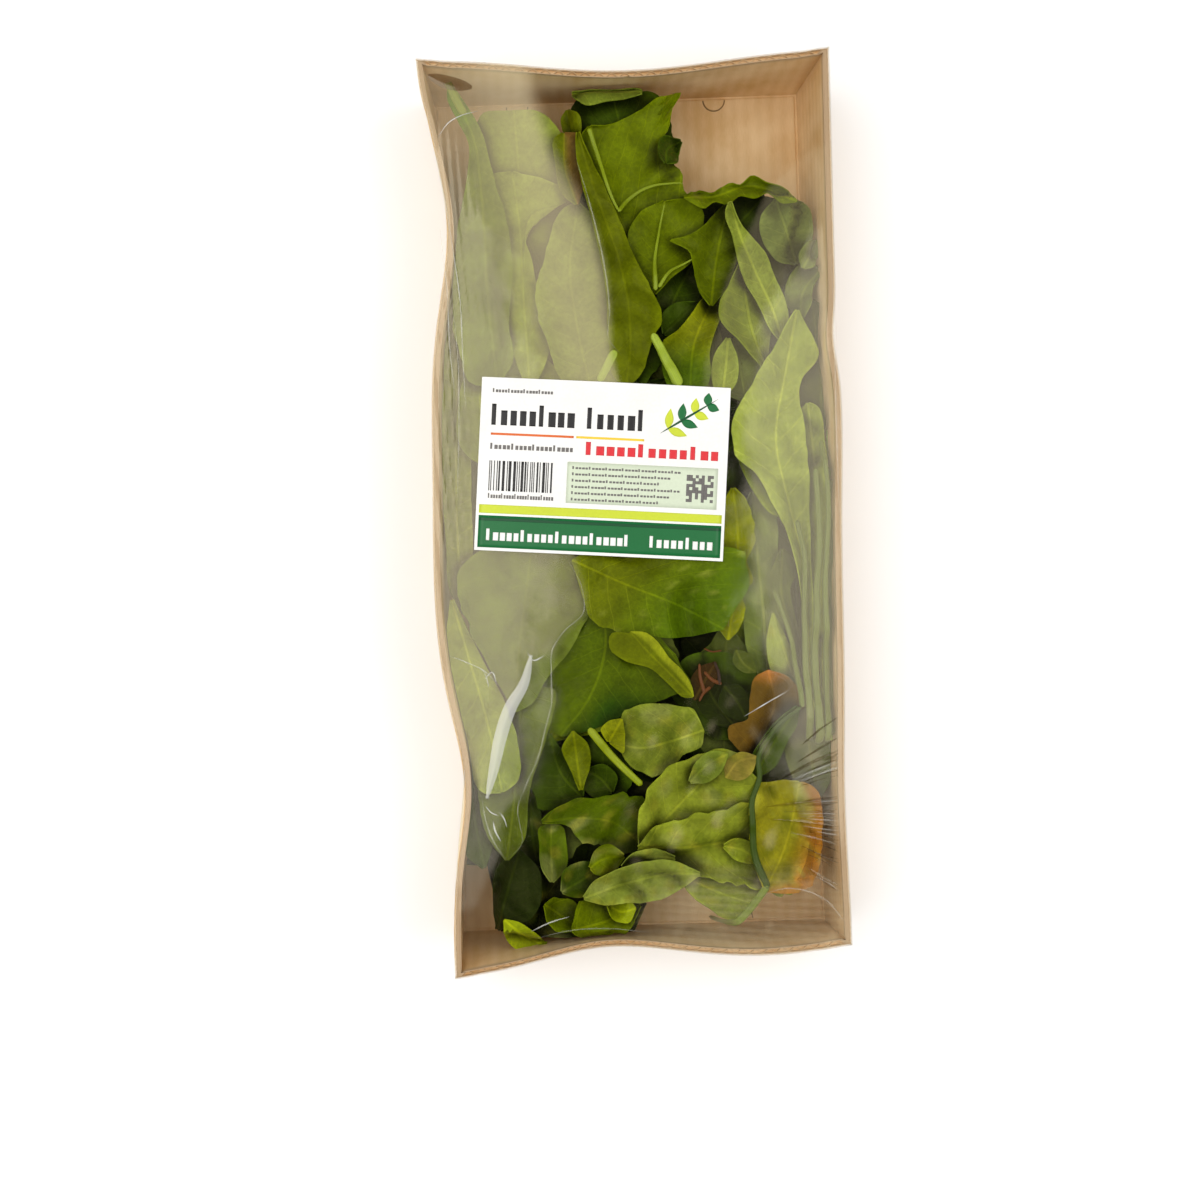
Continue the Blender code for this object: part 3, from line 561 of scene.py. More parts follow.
def make_tray(look):
    """Board shell: outer face, rim with open flutes at both ends, inner face with its creases."""
    steps = RIM_STEPS
    ends = np.repeat([1.0, 0.0, 1.0, 0.0], steps * 2)
    place = np.concatenate([np.arange(n) / n for n in steps * 2])
    open_end = ends * (np.minimum(place, 1 - place) > 0.012)
    corner = np.exp(-((np.minimum(place, 1 - place) / 0.004) ** 2))
    up = np.linspace(0, 1, 13)
    outer = at_height(wall_ring(steps, up), TRAY_BASE + up * WALL_HEIGHT)
    dip = FLUTE_DEPTH * open_end + 0.25 * (1 - open_end)
    low_from = LINER + FLUTE_HALF
    rim_rows = [(LINER, 0.0), (low_from, 1.0), (BOARD - low_from, 1.0), (BOARD - LINER, 0.0)]
    rim = [at_height(wall_ring(steps, [1.0], inset), RIM_TOP - low * dip) for inset, low in rim_rows]
    down = np.linspace(1, 0.06, 14)
    inner = at_height(wall_ring(steps, down, BOARD), TRAY_BASE + down * WALL_HEIGHT)
    outwards = inner[..., :2] / np.linalg.norm(inner[..., :2], axis=-1, keepdims=True)
    inner[..., :2] += GROOVE * corner[:, None] * outwards
    seam = ends * (inner[..., 1] > 0) * np.exp(-(((inner[..., 0] - SEAM_X) / 0.7) ** 2))
    inner[..., 1] += 0.5 * seam
    foot = [
        at_height(wall_ring(steps, [0.045], BOARD), FLOOR_TOP - CREASE_DEPTH),
        at_height(wall_ring(steps, [0.04], BOARD + 0.7), FLOOR_TOP - CREASE_DEPTH),
        at_height(wall_ring(steps, [0.04], BOARD + 1.3), FLOOR_TOP),
    ]
    rows = np.concatenate([outer, *rim, inner, *foot])
    faces = capped_rings(*rows.shape[:2])
    points = rows.reshape(-1, 3)
    # Flutes run along Y on the floor, up the end walls and along the long walls.
    side_wall = np.tile(1 - ends, len(rows)) * (points[:, 2] > FLOOR_TOP + 0.5)
    across = np.where(side_wall > 0, points[:, 2], points[:, 0])
    length = np.where(side_wall > 0, points[:, 1], points[:, 1] + points[:, 2])
    # The third number marks the rim's top, which the kraft colour makes darker: cut edge and painted shade.
    flutes = np.column_stack([across, length, smooth_step(points[:, 2], RIM_TOP - 1.5, RIM_TOP - 0.2)])
    add_piece("tray_board", points, faces, look, "tray", "kraft_board", 35.0, {"flutes": flutes})


def make_flutes(look):
    """The wavy middle layer of the board, open to view along both end rims.

    Its middle line swings between the liners as a sine of the distance along the rim.
    """
    parts = []
    for side in (0, 2):
        along = np.linspace(0.015, 0.985, 620)
        middle = wall_side(side, along, [1.0], BOARD / 2)[0]
        run = np.concatenate([[0], np.cumsum(np.linalg.norm(np.diff(middle, axis=0), axis=1))])
        ahead = np.gradient(middle, axis=0)
        ahead /= np.linalg.norm(ahead, axis=1)[:, None]
        aside = np.column_stack([-ahead[:, 1], ahead[:, 0]])
        swing = (BOARD / 2 - LINER - FLUTE_HALF) * np.sin(2 * math.pi * run / FLUTE_PITCH)
        rows = []
        for offset in (-FLUTE_HALF, FLUTE_HALF):
            line = middle + (swing + offset)[:, None] * aside
            for low in (0.12, FLUTE_DEPTH - 0.1):
                rows.append(np.column_stack([line, np.full(len(line), RIM_TOP - low)]))
        upper = np.stack([rows[1], rows[0]], axis=1)
        lower = np.stack([rows[3], rows[2]], axis=1)
        shape, quads = closed_sheet(upper, lower)
        flutes = np.column_stack([shape[:, 2], shape[:, 0], np.full(len(shape), 0.5)])
        parts.append((shape, quads, flutes))
    points, faces, flutes = joined(parts)
    add_piece("tray_flutes", points, faces, look, "tray", "kraft_board", 60.0, {"flutes": flutes})


def tongue_line(end):
    """Place along the tray of the straight side of the tongues at its near (-1) or far (1) end."""
    return FLOOR_CENTRE[1] + end * (FLOOR_SIZE[1] / 2 - BOARD - TONGUE_INSET)


def make_tongues(look):
    """Half-round locking tongues at both ends of the floor, with a rounded upper edge."""
    parts = []
    angles = np.linspace(0, math.pi, 41)
    profile = ((0.55, 1.0), (0.9, 1.0), (0.985, 0.85), (1.0, 0.6), (1.0, -1.0))
    for x in TONGUE_X:
        for end in (-1, 1):
            rows = []
            for reach, rise in profile:
                radius = TONGUE_RADIUS * reach
                y = tongue_line(end) - end * radius * np.sin(angles)
                flat = np.column_stack([x + radius * np.cos(angles), y])
                height = np.full(len(flat), FLOOR_TOP + TONGUE_HEIGHT * rise)
                rows.append(np.column_stack([flat - BOX_CENTRE, height]))
            rows = np.array(rows if end < 0 else [row[::-1] for row in rows])[::-1]
            parts.append((rows.reshape(-1, 3), capped_rings(*rows.shape[:2])))
    points, faces = joined(parts)
    fields = {"flutes": points * (1, 1, 0)}
    add_piece("tray_tongues", points, faces, look, "tray", "kraft_board", 50.0, fields)


def make_cuts(look):
    """The cut round each tongue: a thin dark half ring laid in the floor's surface, a painted shadow of the
    slit.
    """
    parts = []
    angles = np.linspace(0.0, math.pi, 41)[:, None]
    reach = TONGUE_RADIUS + np.linspace(0.05, 0.5, 4)[None, :]
    for x in TONGUE_X:
        for end in (-1, 1):
            y = tongue_line(end) - end * reach * np.sin(angles)
            flat = np.stack([x + reach * np.cos(angles), y], axis=-1)
            height = np.full((*flat.shape[:2], 1), FLOOR_TOP + 0.06)
            upper = np.concatenate([flat - BOX_CENTRE, height], axis=-1)
            shape, quads = closed_sheet(upper, upper - (0, 0, 0.3))
            parts.append((shape, quads if end < 0 else quads[:, ::-1]))
    points, faces = joined(parts)
    add_piece("tray_cuts", points, faces, look, "tray", "kraft_board", 40.0, {"flutes": points})


# Film.


def film_height(x, y):
    """Height of the middle of the film over (x, y), as in the CAD model: a low vault with sags."""
    across = np.clip(np.abs(x) / FILM_SPAN[0], 0, 1)
    along = np.clip(np.abs(y) / FILM_SPAN[1], 0, 1)
    rise = FILM_RISE * (1 - across**2) * (1 - along**4)
    for sag_x, sag_y, depth, spread in FILM_SAGS:
        fade = smooth_bump(x, sag_x, spread) * smooth_bump(y, sag_y, spread)
        rise = rise - depth * fade * (1 - across**4) * (1 - along**8)
    return RIM_TOP + FILM_MIDDLE + rise


# Outlines on the plan of the areas where the film is clouded by a painted reflection, anticlockwise from
# their top end.
LEFT_PAINTED_REFLECTION = (
    (418, 40), (420, 70), (474, 62), (478, 44), (527, 40),
    (532, 95), (549, 150), (575, 195), (591, 228), (603, 270), (608, 310), (610, 352), (618, 385),
    (600, 470), (574, 560), (584, 597), (583, 613), (563, 632), (552, 650),
    (530, 662), (518, 690), (503, 722), (492, 760), (483, 797), (474, 768), (462, 738), (430, 700),
    (415, 400), (410, 40),
)
RIGHT_PAINTED_REFLECTION = (
    (840, 140), (812, 150), (790, 168), (768, 190), (752, 225), (736, 258), (722, 295), (717, 330),
    (704, 365), (703, 390), (736, 400), (742, 440), (752, 480), (752, 520), (749, 560), (758, 616),
    (764, 640), (769, 668), (801, 690), (803, 706), (792, 728), (789, 748), (855, 742), (855, 140),
)

# The painted reflection of the left area is brightest along this line.
GLARE_LINE = ((508, 60), (580, 330))
# Sharp folds of the film: points on the plan, half width at the middle in mm, how white (painted highlight),
# how dark (painted shade).
FOLDS = (
    (((531, 655), (524, 683), (510, 708), (501, 735), (494, 768), (487, 798)), 2.6, 0.4, 0.0),
    (((428, 76), (448, 83), (472, 88)), 2.7, 0.0, 0.5),
    (((576, 160), (594, 222), (603, 262), (609, 310), (609, 342), (621, 357)), 0.4, 0.13, 0.0),
    (((565, 556), (582, 590), (583, 612), (563, 632), (552, 650), (551, 672), (551, 704), (545, 729),
      (538, 757), (527, 782), (518, 806), (520, 847), (505, 858)), 0.35, 0.16, 0.0),
    (((505, 858), (492, 838), (484, 812), (482, 795)), 0.35, 0.2, 0.0),
    (((743, 716), (765, 703), (788, 690)), 0.3, 0.62, 0.0),
    (((486, 806), (491, 812), (498, 815)), 0.4, 0.7, 0.0),
    (((499, 811), (504, 818), (507, 827)), 0.35, 0.6, 0.0),
    (((493, 820), (495, 830), (501, 841)), 0.45, 0.6, 0.0),
    (((527, 652), (533, 660), (545, 655)), 0.35, 0.5, 0.0),
    (((481, 668), (486, 676), (489, 688)), 0.3, 0.4, 0.0),
    (((438, 138), (449, 123), (462, 116), (478, 112)), 0.28, 0.6, 0.0),
    (((446, 205), (453, 250), (460, 300), (463, 360), (466, 410)), 0.35, 0.35, 0.0),
    (((440, 230), (447, 290), (450, 350), (455, 395)), 0.3, 0.3, 0.0),
    (((452, 300), (458, 360), (459, 430), (457, 500)), 0.3, 0.22, 0.0),
    (((447, 655), (466, 662), (486, 672), (497, 684)), 0.25, 0.45, 0.0),
    (((484, 680), (492, 672), (497, 686)), 0.3, 0.5, 0.0),
    (((531, 931), (550, 922), (569, 916)), 0.35, 0.45, 0.0),
    (((536, 938), (570, 930), (610, 928), (650, 932)), 0.3, 0.14, 0.0),
    (((836, 200), (840, 320), (845, 440)), 0.4, 0.25, 0.0),
    (((830, 240), (834, 330), (836, 420), (840, 540)), 0.3, 0.2, 0.0),
    (((764, 893), (790, 888), (826, 900), (846, 924)), 0.35, 0.22, 0.0),
)
# Strain folds of the near right corner: the point they spread from, and the rim's x, on the plan.
FAN_CENTRE = (712, 812)
FAN_EDGE = 838

# Pointed flap of doubled film.
FLAP = (
    (534, 650), (551, 672), (551, 704), (545, 729), (538, 757), (527, 782), (518, 806), (520, 847),
    (505, 858), (491, 835), (484, 808), (483, 792), (492, 760), (503, 722), (518, 690),
)


def plan_distance(x, y, points, closed):
    """Distance from (x, y) to a line of points, and whether (x, y) lies inside it."""
    ends = np.roll(points, -1, axis=0) if closed else points[1:]
    nearest = np.full(np.shape(x), 1e9)
    inside = np.zeros(np.shape(x), bool)
    for (ax, ay), (bx, by) in zip(points, ends):
        dx, dy = bx - ax, by - ay
        t = np.clip(((x - ax) * dx + (y - ay) * dy) / (dx * dx + dy * dy), 0, 1)
        nearest = np.minimum(nearest, np.hypot(x - ax - t * dx, y - ay - t * dy))
        crosses = (ay > y) != (by > y)
        inside ^= crosses & (x < ax + (y - ay) * dx / (dy if dy else 1e-9))
    return nearest, inside


def cloud(x, y, outline, softness):
    """1 inside an outline on the plan, 0 outside, with a soft edge of a given width."""
    distance, inside = plan_distance(x, y, to_pack(outline), True)
    return smooth_step(np.where(inside, distance, -distance), -softness, softness)


def fan_folds(draw):
    """Strain folds that spread from one point of the film to its right-hand rim, some with painted highlight
    and the rest with painted shade.
    """
    rows = []
    for angle in np.linspace(-0.6, 0.6, 34):
        angle += draw.normal(0, 0.04)
        heading = np.array([math.cos(angle), -math.sin(angle)])
        aside = np.array([heading[1], -heading[0]])
        end = (FAN_EDGE - FAN_CENTRE[0]) / heading[0]
        start = end - draw.uniform(14, 40) - 40 * draw.random() ** 3
        bend = draw.normal(0, 0.7)
        stops = ((start, 0), ((start + end) / 2, bend), (end, 0))
        line = [FAN_CENTRE + out * heading + over * aside for out, over in stops]
        dark = draw.random() < 0.6
        width = draw.choice([0.2, 0.3, 0.45, 0.8])
        white = 0.0 if dark else draw.uniform(0.05, 0.2)
        rows.append((line, width, white, draw.uniform(0.3, 0.85) * dark / (0.6 + width)))
    return rows


def film_relief(x, y):
    """Height that creases and strain ridges add to the film, and how milky it is there: painted reflection,
    painted glare and painted highlight on crests.
    """
    fade = smooth_step(FILM_SPAN[0] + 4 - np.abs(x), 0, 14) * smooth_step(184 - np.abs(y), 0, 14)
    height = 0.16 * ripples(x, y, 46, 21) * fade + 0.05 * ripples(x, y, 17, 22) * fade
    # Painted reflection: a milky haze over the left and right areas, brightest along the glare line, with the
    # flap clearer than the rest of the left one.
    edge_soft = np.interp(y, (-90, -45, 40, 130), (1.0, 3.0, 1.2, 4.5))
    (top_x, top_y), (low_x, low_y) = to_pack(GLARE_LINE)
    glare_x = top_x + (low_x - top_x) * (y - top_y) / (low_y - top_y)
    glare = smooth_bump(x, glare_x, 15) * smooth_step(y, -10, 50)
    haze = (0.12 + 0.15 * glare) * cloud(x, y, LEFT_PAINTED_REFLECTION, edge_soft)
    haze = haze + 0.06 * cloud(x, y, RIGHT_PAINTED_REFLECTION, 1.8)
    haze = haze * (1 - 0.45 * cloud(x, y, FLAP, 0.4))
    # Painted glare: pale patches over the near leaves, and pale streaks across the film where the floor is
    # bare, which make that floor look lighter.
    spots = smooth_step(ripples(x, y, 16, 24, 11), 0.3, 0.75)
    haze = haze + 0.1 * spots * smooth_step(-y, 66, 90) * smooth_step(x, -15, 5)
    glare_streaks = 1 + 0.4 * np.sin(2 * math.pi * (y + 0.1 * x + 0.6 * ripples(x, y, 40, 32)) / 2.9)
    haze = haze + 0.07 * smooth_step(-y, 138, 158) * smooth_step(x, -14, 14) * glare_streaks
    # Lengthwise folds beside the left rim, with painted highlight on their crests.
    left = smooth_bump(x, -76, 7) * smooth_step(y, -60, 20) * smooth_step(-y, -175, -120)
    folds = np.sin(2 * math.pi * (x + 0.06 * y + 1.2 * ripples(x, y, 90, 31)) / 3.1)
    height = height + 0.14 * left * folds
    haze = haze + 0.1 * left * np.clip(folds, 0, 1) ** 2
    return height, np.clip(haze, 0, 0.85)


def coons_grid(loop, steps):
    """A grid of points that fills a closed four-sided loop, indexed [across, along]."""
    short, long = steps
    low = loop[: short + 1]
    right = loop[short : short + long + 1]
    high = loop[short + long : 2 * short + long + 1][::-1]
    left = np.concatenate([loop[2 * short + long :], loop[:1]])[::-1]
    u = (np.arange(short + 1) / short)[:, None, None]
    v = (np.arange(long + 1) / long)[None, :, None]
    ruled_v = (1 - v) * low[:, None] + v * high[:, None]
    ruled_u = (1 - u) * left[None] + u * right[None]
    corners = (1 - u) * ((1 - v) * low[0] + v * high[0]) + u * ((1 - v) * low[-1] + v * high[-1])
    return ruled_v + ruled_u - corners


def make_film(look):
    """One sheet: tucked under the floor, up the walls with gathers at the corners, and across."""
    short, long = FILM_CELLS
    edge = wall_ring(FILM_CELLS, [1.0], -FILM_MIDDLE)[0]
    count = len(edge)
    share = np.linspace(0.0, 1.0, 13)[:-1]
    walls = at_height(wall_ring(FILM_CELLS, share, -FILM_MIDDLE), TRAY_BASE + share * WALL_HEIGHT)
    walls[0, :, 2] = 0.2
    place = np.arange(count)
    rim = np.column_stack([edge, np.full(count, RIM_TOP + FILM_MIDDLE)])
    run = np.concatenate([np.arange(n) / n for n in (short, long, short, long)])
    near_corner = np.exp(-np.minimum(run, 1 - run) / 0.1)
    outwards = edge / np.linalg.norm(edge, axis=1)[:, None]
    gather = np.sin(place * 0.9 + 3 * np.sin(place * 0.13)) * (0.12 + 0.5 * near_corner)
    lift = np.sin(math.pi * share)[:, None]
    walls[..., :2] += 0.4 * (lift * (gather + 0.4 * near_corner))[..., None] * outwards
    shrink = 1 - np.array([FILM_TUCK, 0.5 * FILM_TUCK])[:, None, None] / (np.array(FLOOR_SIZE) / 2)
    under = walls[:1, :, :2] * shrink
    under_z = 0.2 + 0.12 * (1 + np.sin(place * 0.7))
    under = np.concatenate([under, np.broadcast_to(under_z[None, :, None], (2, count, 1))], axis=-1)
    grid = coons_grid(edge, FILM_CELLS)
    x, y = grid[..., 0], grid[..., 1]
    relief, haze = film_relief(x, y)
    number = np.zeros(grid.shape[:2], int)
    number[:, 0] = np.arange(short + 1)
    number[-1, :] = short + np.arange(long + 1)
    number[::-1, -1] = short + long + np.arange(short + 1)
    number[0, 1:][::-1] = 2 * short + long + np.arange(long)
    rows = np.concatenate([under, walls, rim[None]])
    first = (len(rows) - 1) * count
    number[1:-1, 1:-1] = count + np.arange((short - 1) * (long - 1)).reshape(short - 1, long - 1)
    number += first
    inside = np.stack([x, y, film_height(x, y) + relief], axis=-1)[1:-1, 1:-1]
    inside[..., 2] = np.maximum(inside[..., 2], RIM_TOP + 0.15)
    points = np.concatenate([rows.reshape(-1, 3), inside.reshape(-1, 3)])
    top = np.stack([number[:-1, :-1], number[1:, :-1], number[1:, 1:], number[:-1, 1:]], axis=-1)
    faces = np.concatenate([ring_faces(len(rows), count), top.reshape(-1, 4)])
    on_rim = number < first + count
    fields = {}
    for name, values, low in (
        ("haze", haze, 0.05 + 0.12 * near_corner), ("fold_shade", 0 * haze, 0 * near_corner)
    ):
        rim_values = np.zeros(count)
        rim_values[(number - first)[on_rim]] = values[on_rim]
        fields[name] = np.concatenate([np.tile(low, len(rows) - 1), rim_values, values[1:-1, 1:-1].ravel()])
    add_piece("film_wrap", points, faces, look, "film", "clear_film", fields=fields)


def make_folds(look):
    """Thin ribbons of doubled film on the sheet: a tent across, tapering to nothing at both ends."""
    draw = np.random.default_rng(8)
    parts = []
    across = np.linspace(-1, 1, 5)
    for plan, width, white, dark in (*FOLDS, *fan_folds(draw)):
        line = to_pack(plan)
        count = int(np.linalg.norm(np.diff(line, axis=0), axis=1).sum() / 1.2) + 6
        line = smooth_curve(line, count)
        share = np.linspace(0, 1, count)
        ahead = np.gradient(line, axis=0)
        ahead /= np.linalg.norm(ahead, axis=1)[:, None]
        aside = np.column_stack([-ahead[:, 1], ahead[:, 0]])
        swell = np.sin(math.pi * np.clip(share, 0.02, 0.98)) ** 0.5
        uneven = ripples(share * count * 1.2, 0 * share, 9, draw.integers(1 << 30))
        swell = swell * (1 + 0.35 * (width < 2) * uneven)
        flat = line[:, None] + (width * swell[:, None] * across)[..., None] * aside[:, None]
        x, y = flat[..., 0], flat[..., 1]
        relief, _ = film_relief(x, y)
        tent = (0.1 + min(0.3 * width, 0.2) * swell[:, None]) * (1 - np.abs(across))
        upper = np.stack([x, y, film_height(x, y) + relief + 0.06 + tent], axis=-1)
        upper[..., 2] = np.minimum(upper[..., 2], FILM_CEILING)
        upper[..., 0] = np.clip(upper[..., 0], -FOLD_LIMIT, FOLD_LIMIT)
        # Thin folds fade out across and along; broad bands keep a crisp edge.
        soft = 0.5 if width < 1 else 0.1
        fade = (swell[:, None] ** soft * (1 - 1.9 * soft * np.abs(across))).ravel()
        parts.append((upper.reshape(-1, 3), grid_faces(*flat.shape[:2]), white * fade, dark * fade))
    # The whiteness of the folds is painted highlight and their darkness painted shade.
    points, faces, haze, fold_shade = joined(parts)
    fields = {"haze": np.clip(haze, 0, 1), "fold_shade": np.clip(fold_shade, 0, 1)}
    add_piece("film_folds", points, faces, look, "film", "clear_film", fields=fields)


# Leaves.

# Colours of the blades, as the eye sees them without the film. Some still carry painted light: deep, dark and
# shade are partly the leaves' own dark green and partly painted shade for leaves that lie in shade; left,
# light, grey, veil and low_veil are paler and greyer for leaves under the film's painted reflection; glare is
# paler for leaves under its painted glare.
TINTS = {
    "deep": linear("3f5408"),
    "dark": linear("1f2a07"),
    "green": linear("6e7e02"),
    "fresh": linear("76862a"),
    "bright": linear("94a20c"),
    "yellow": linear("888e08"),
    "olive": linear("6c7604"),
    "light": linear("93a03c"),
    "left": linear("8a9838"),
    "grey": linear("74823a"),
    "shade": linear("525c22"),
    "brown": linear("6e5016"),
    "rust": linear("3c2410"),
    "russet": linear("6e3c0c"),
    "stalk": linear("a3b834"),
    "soft": linear("84912a"),
    "glare": linear("98a42c"),
    "reed": linear("67742a"),
    "rib": linear("8b9d16"),
    "veil": linear("74832c"),
    "low_veil": linear("697824"),
    "leafy": linear("566a02"),
    "amber": linear("a09a1c"),
    "tan": linear("8e8034"),
    "flap": linear("5a6818"),
}

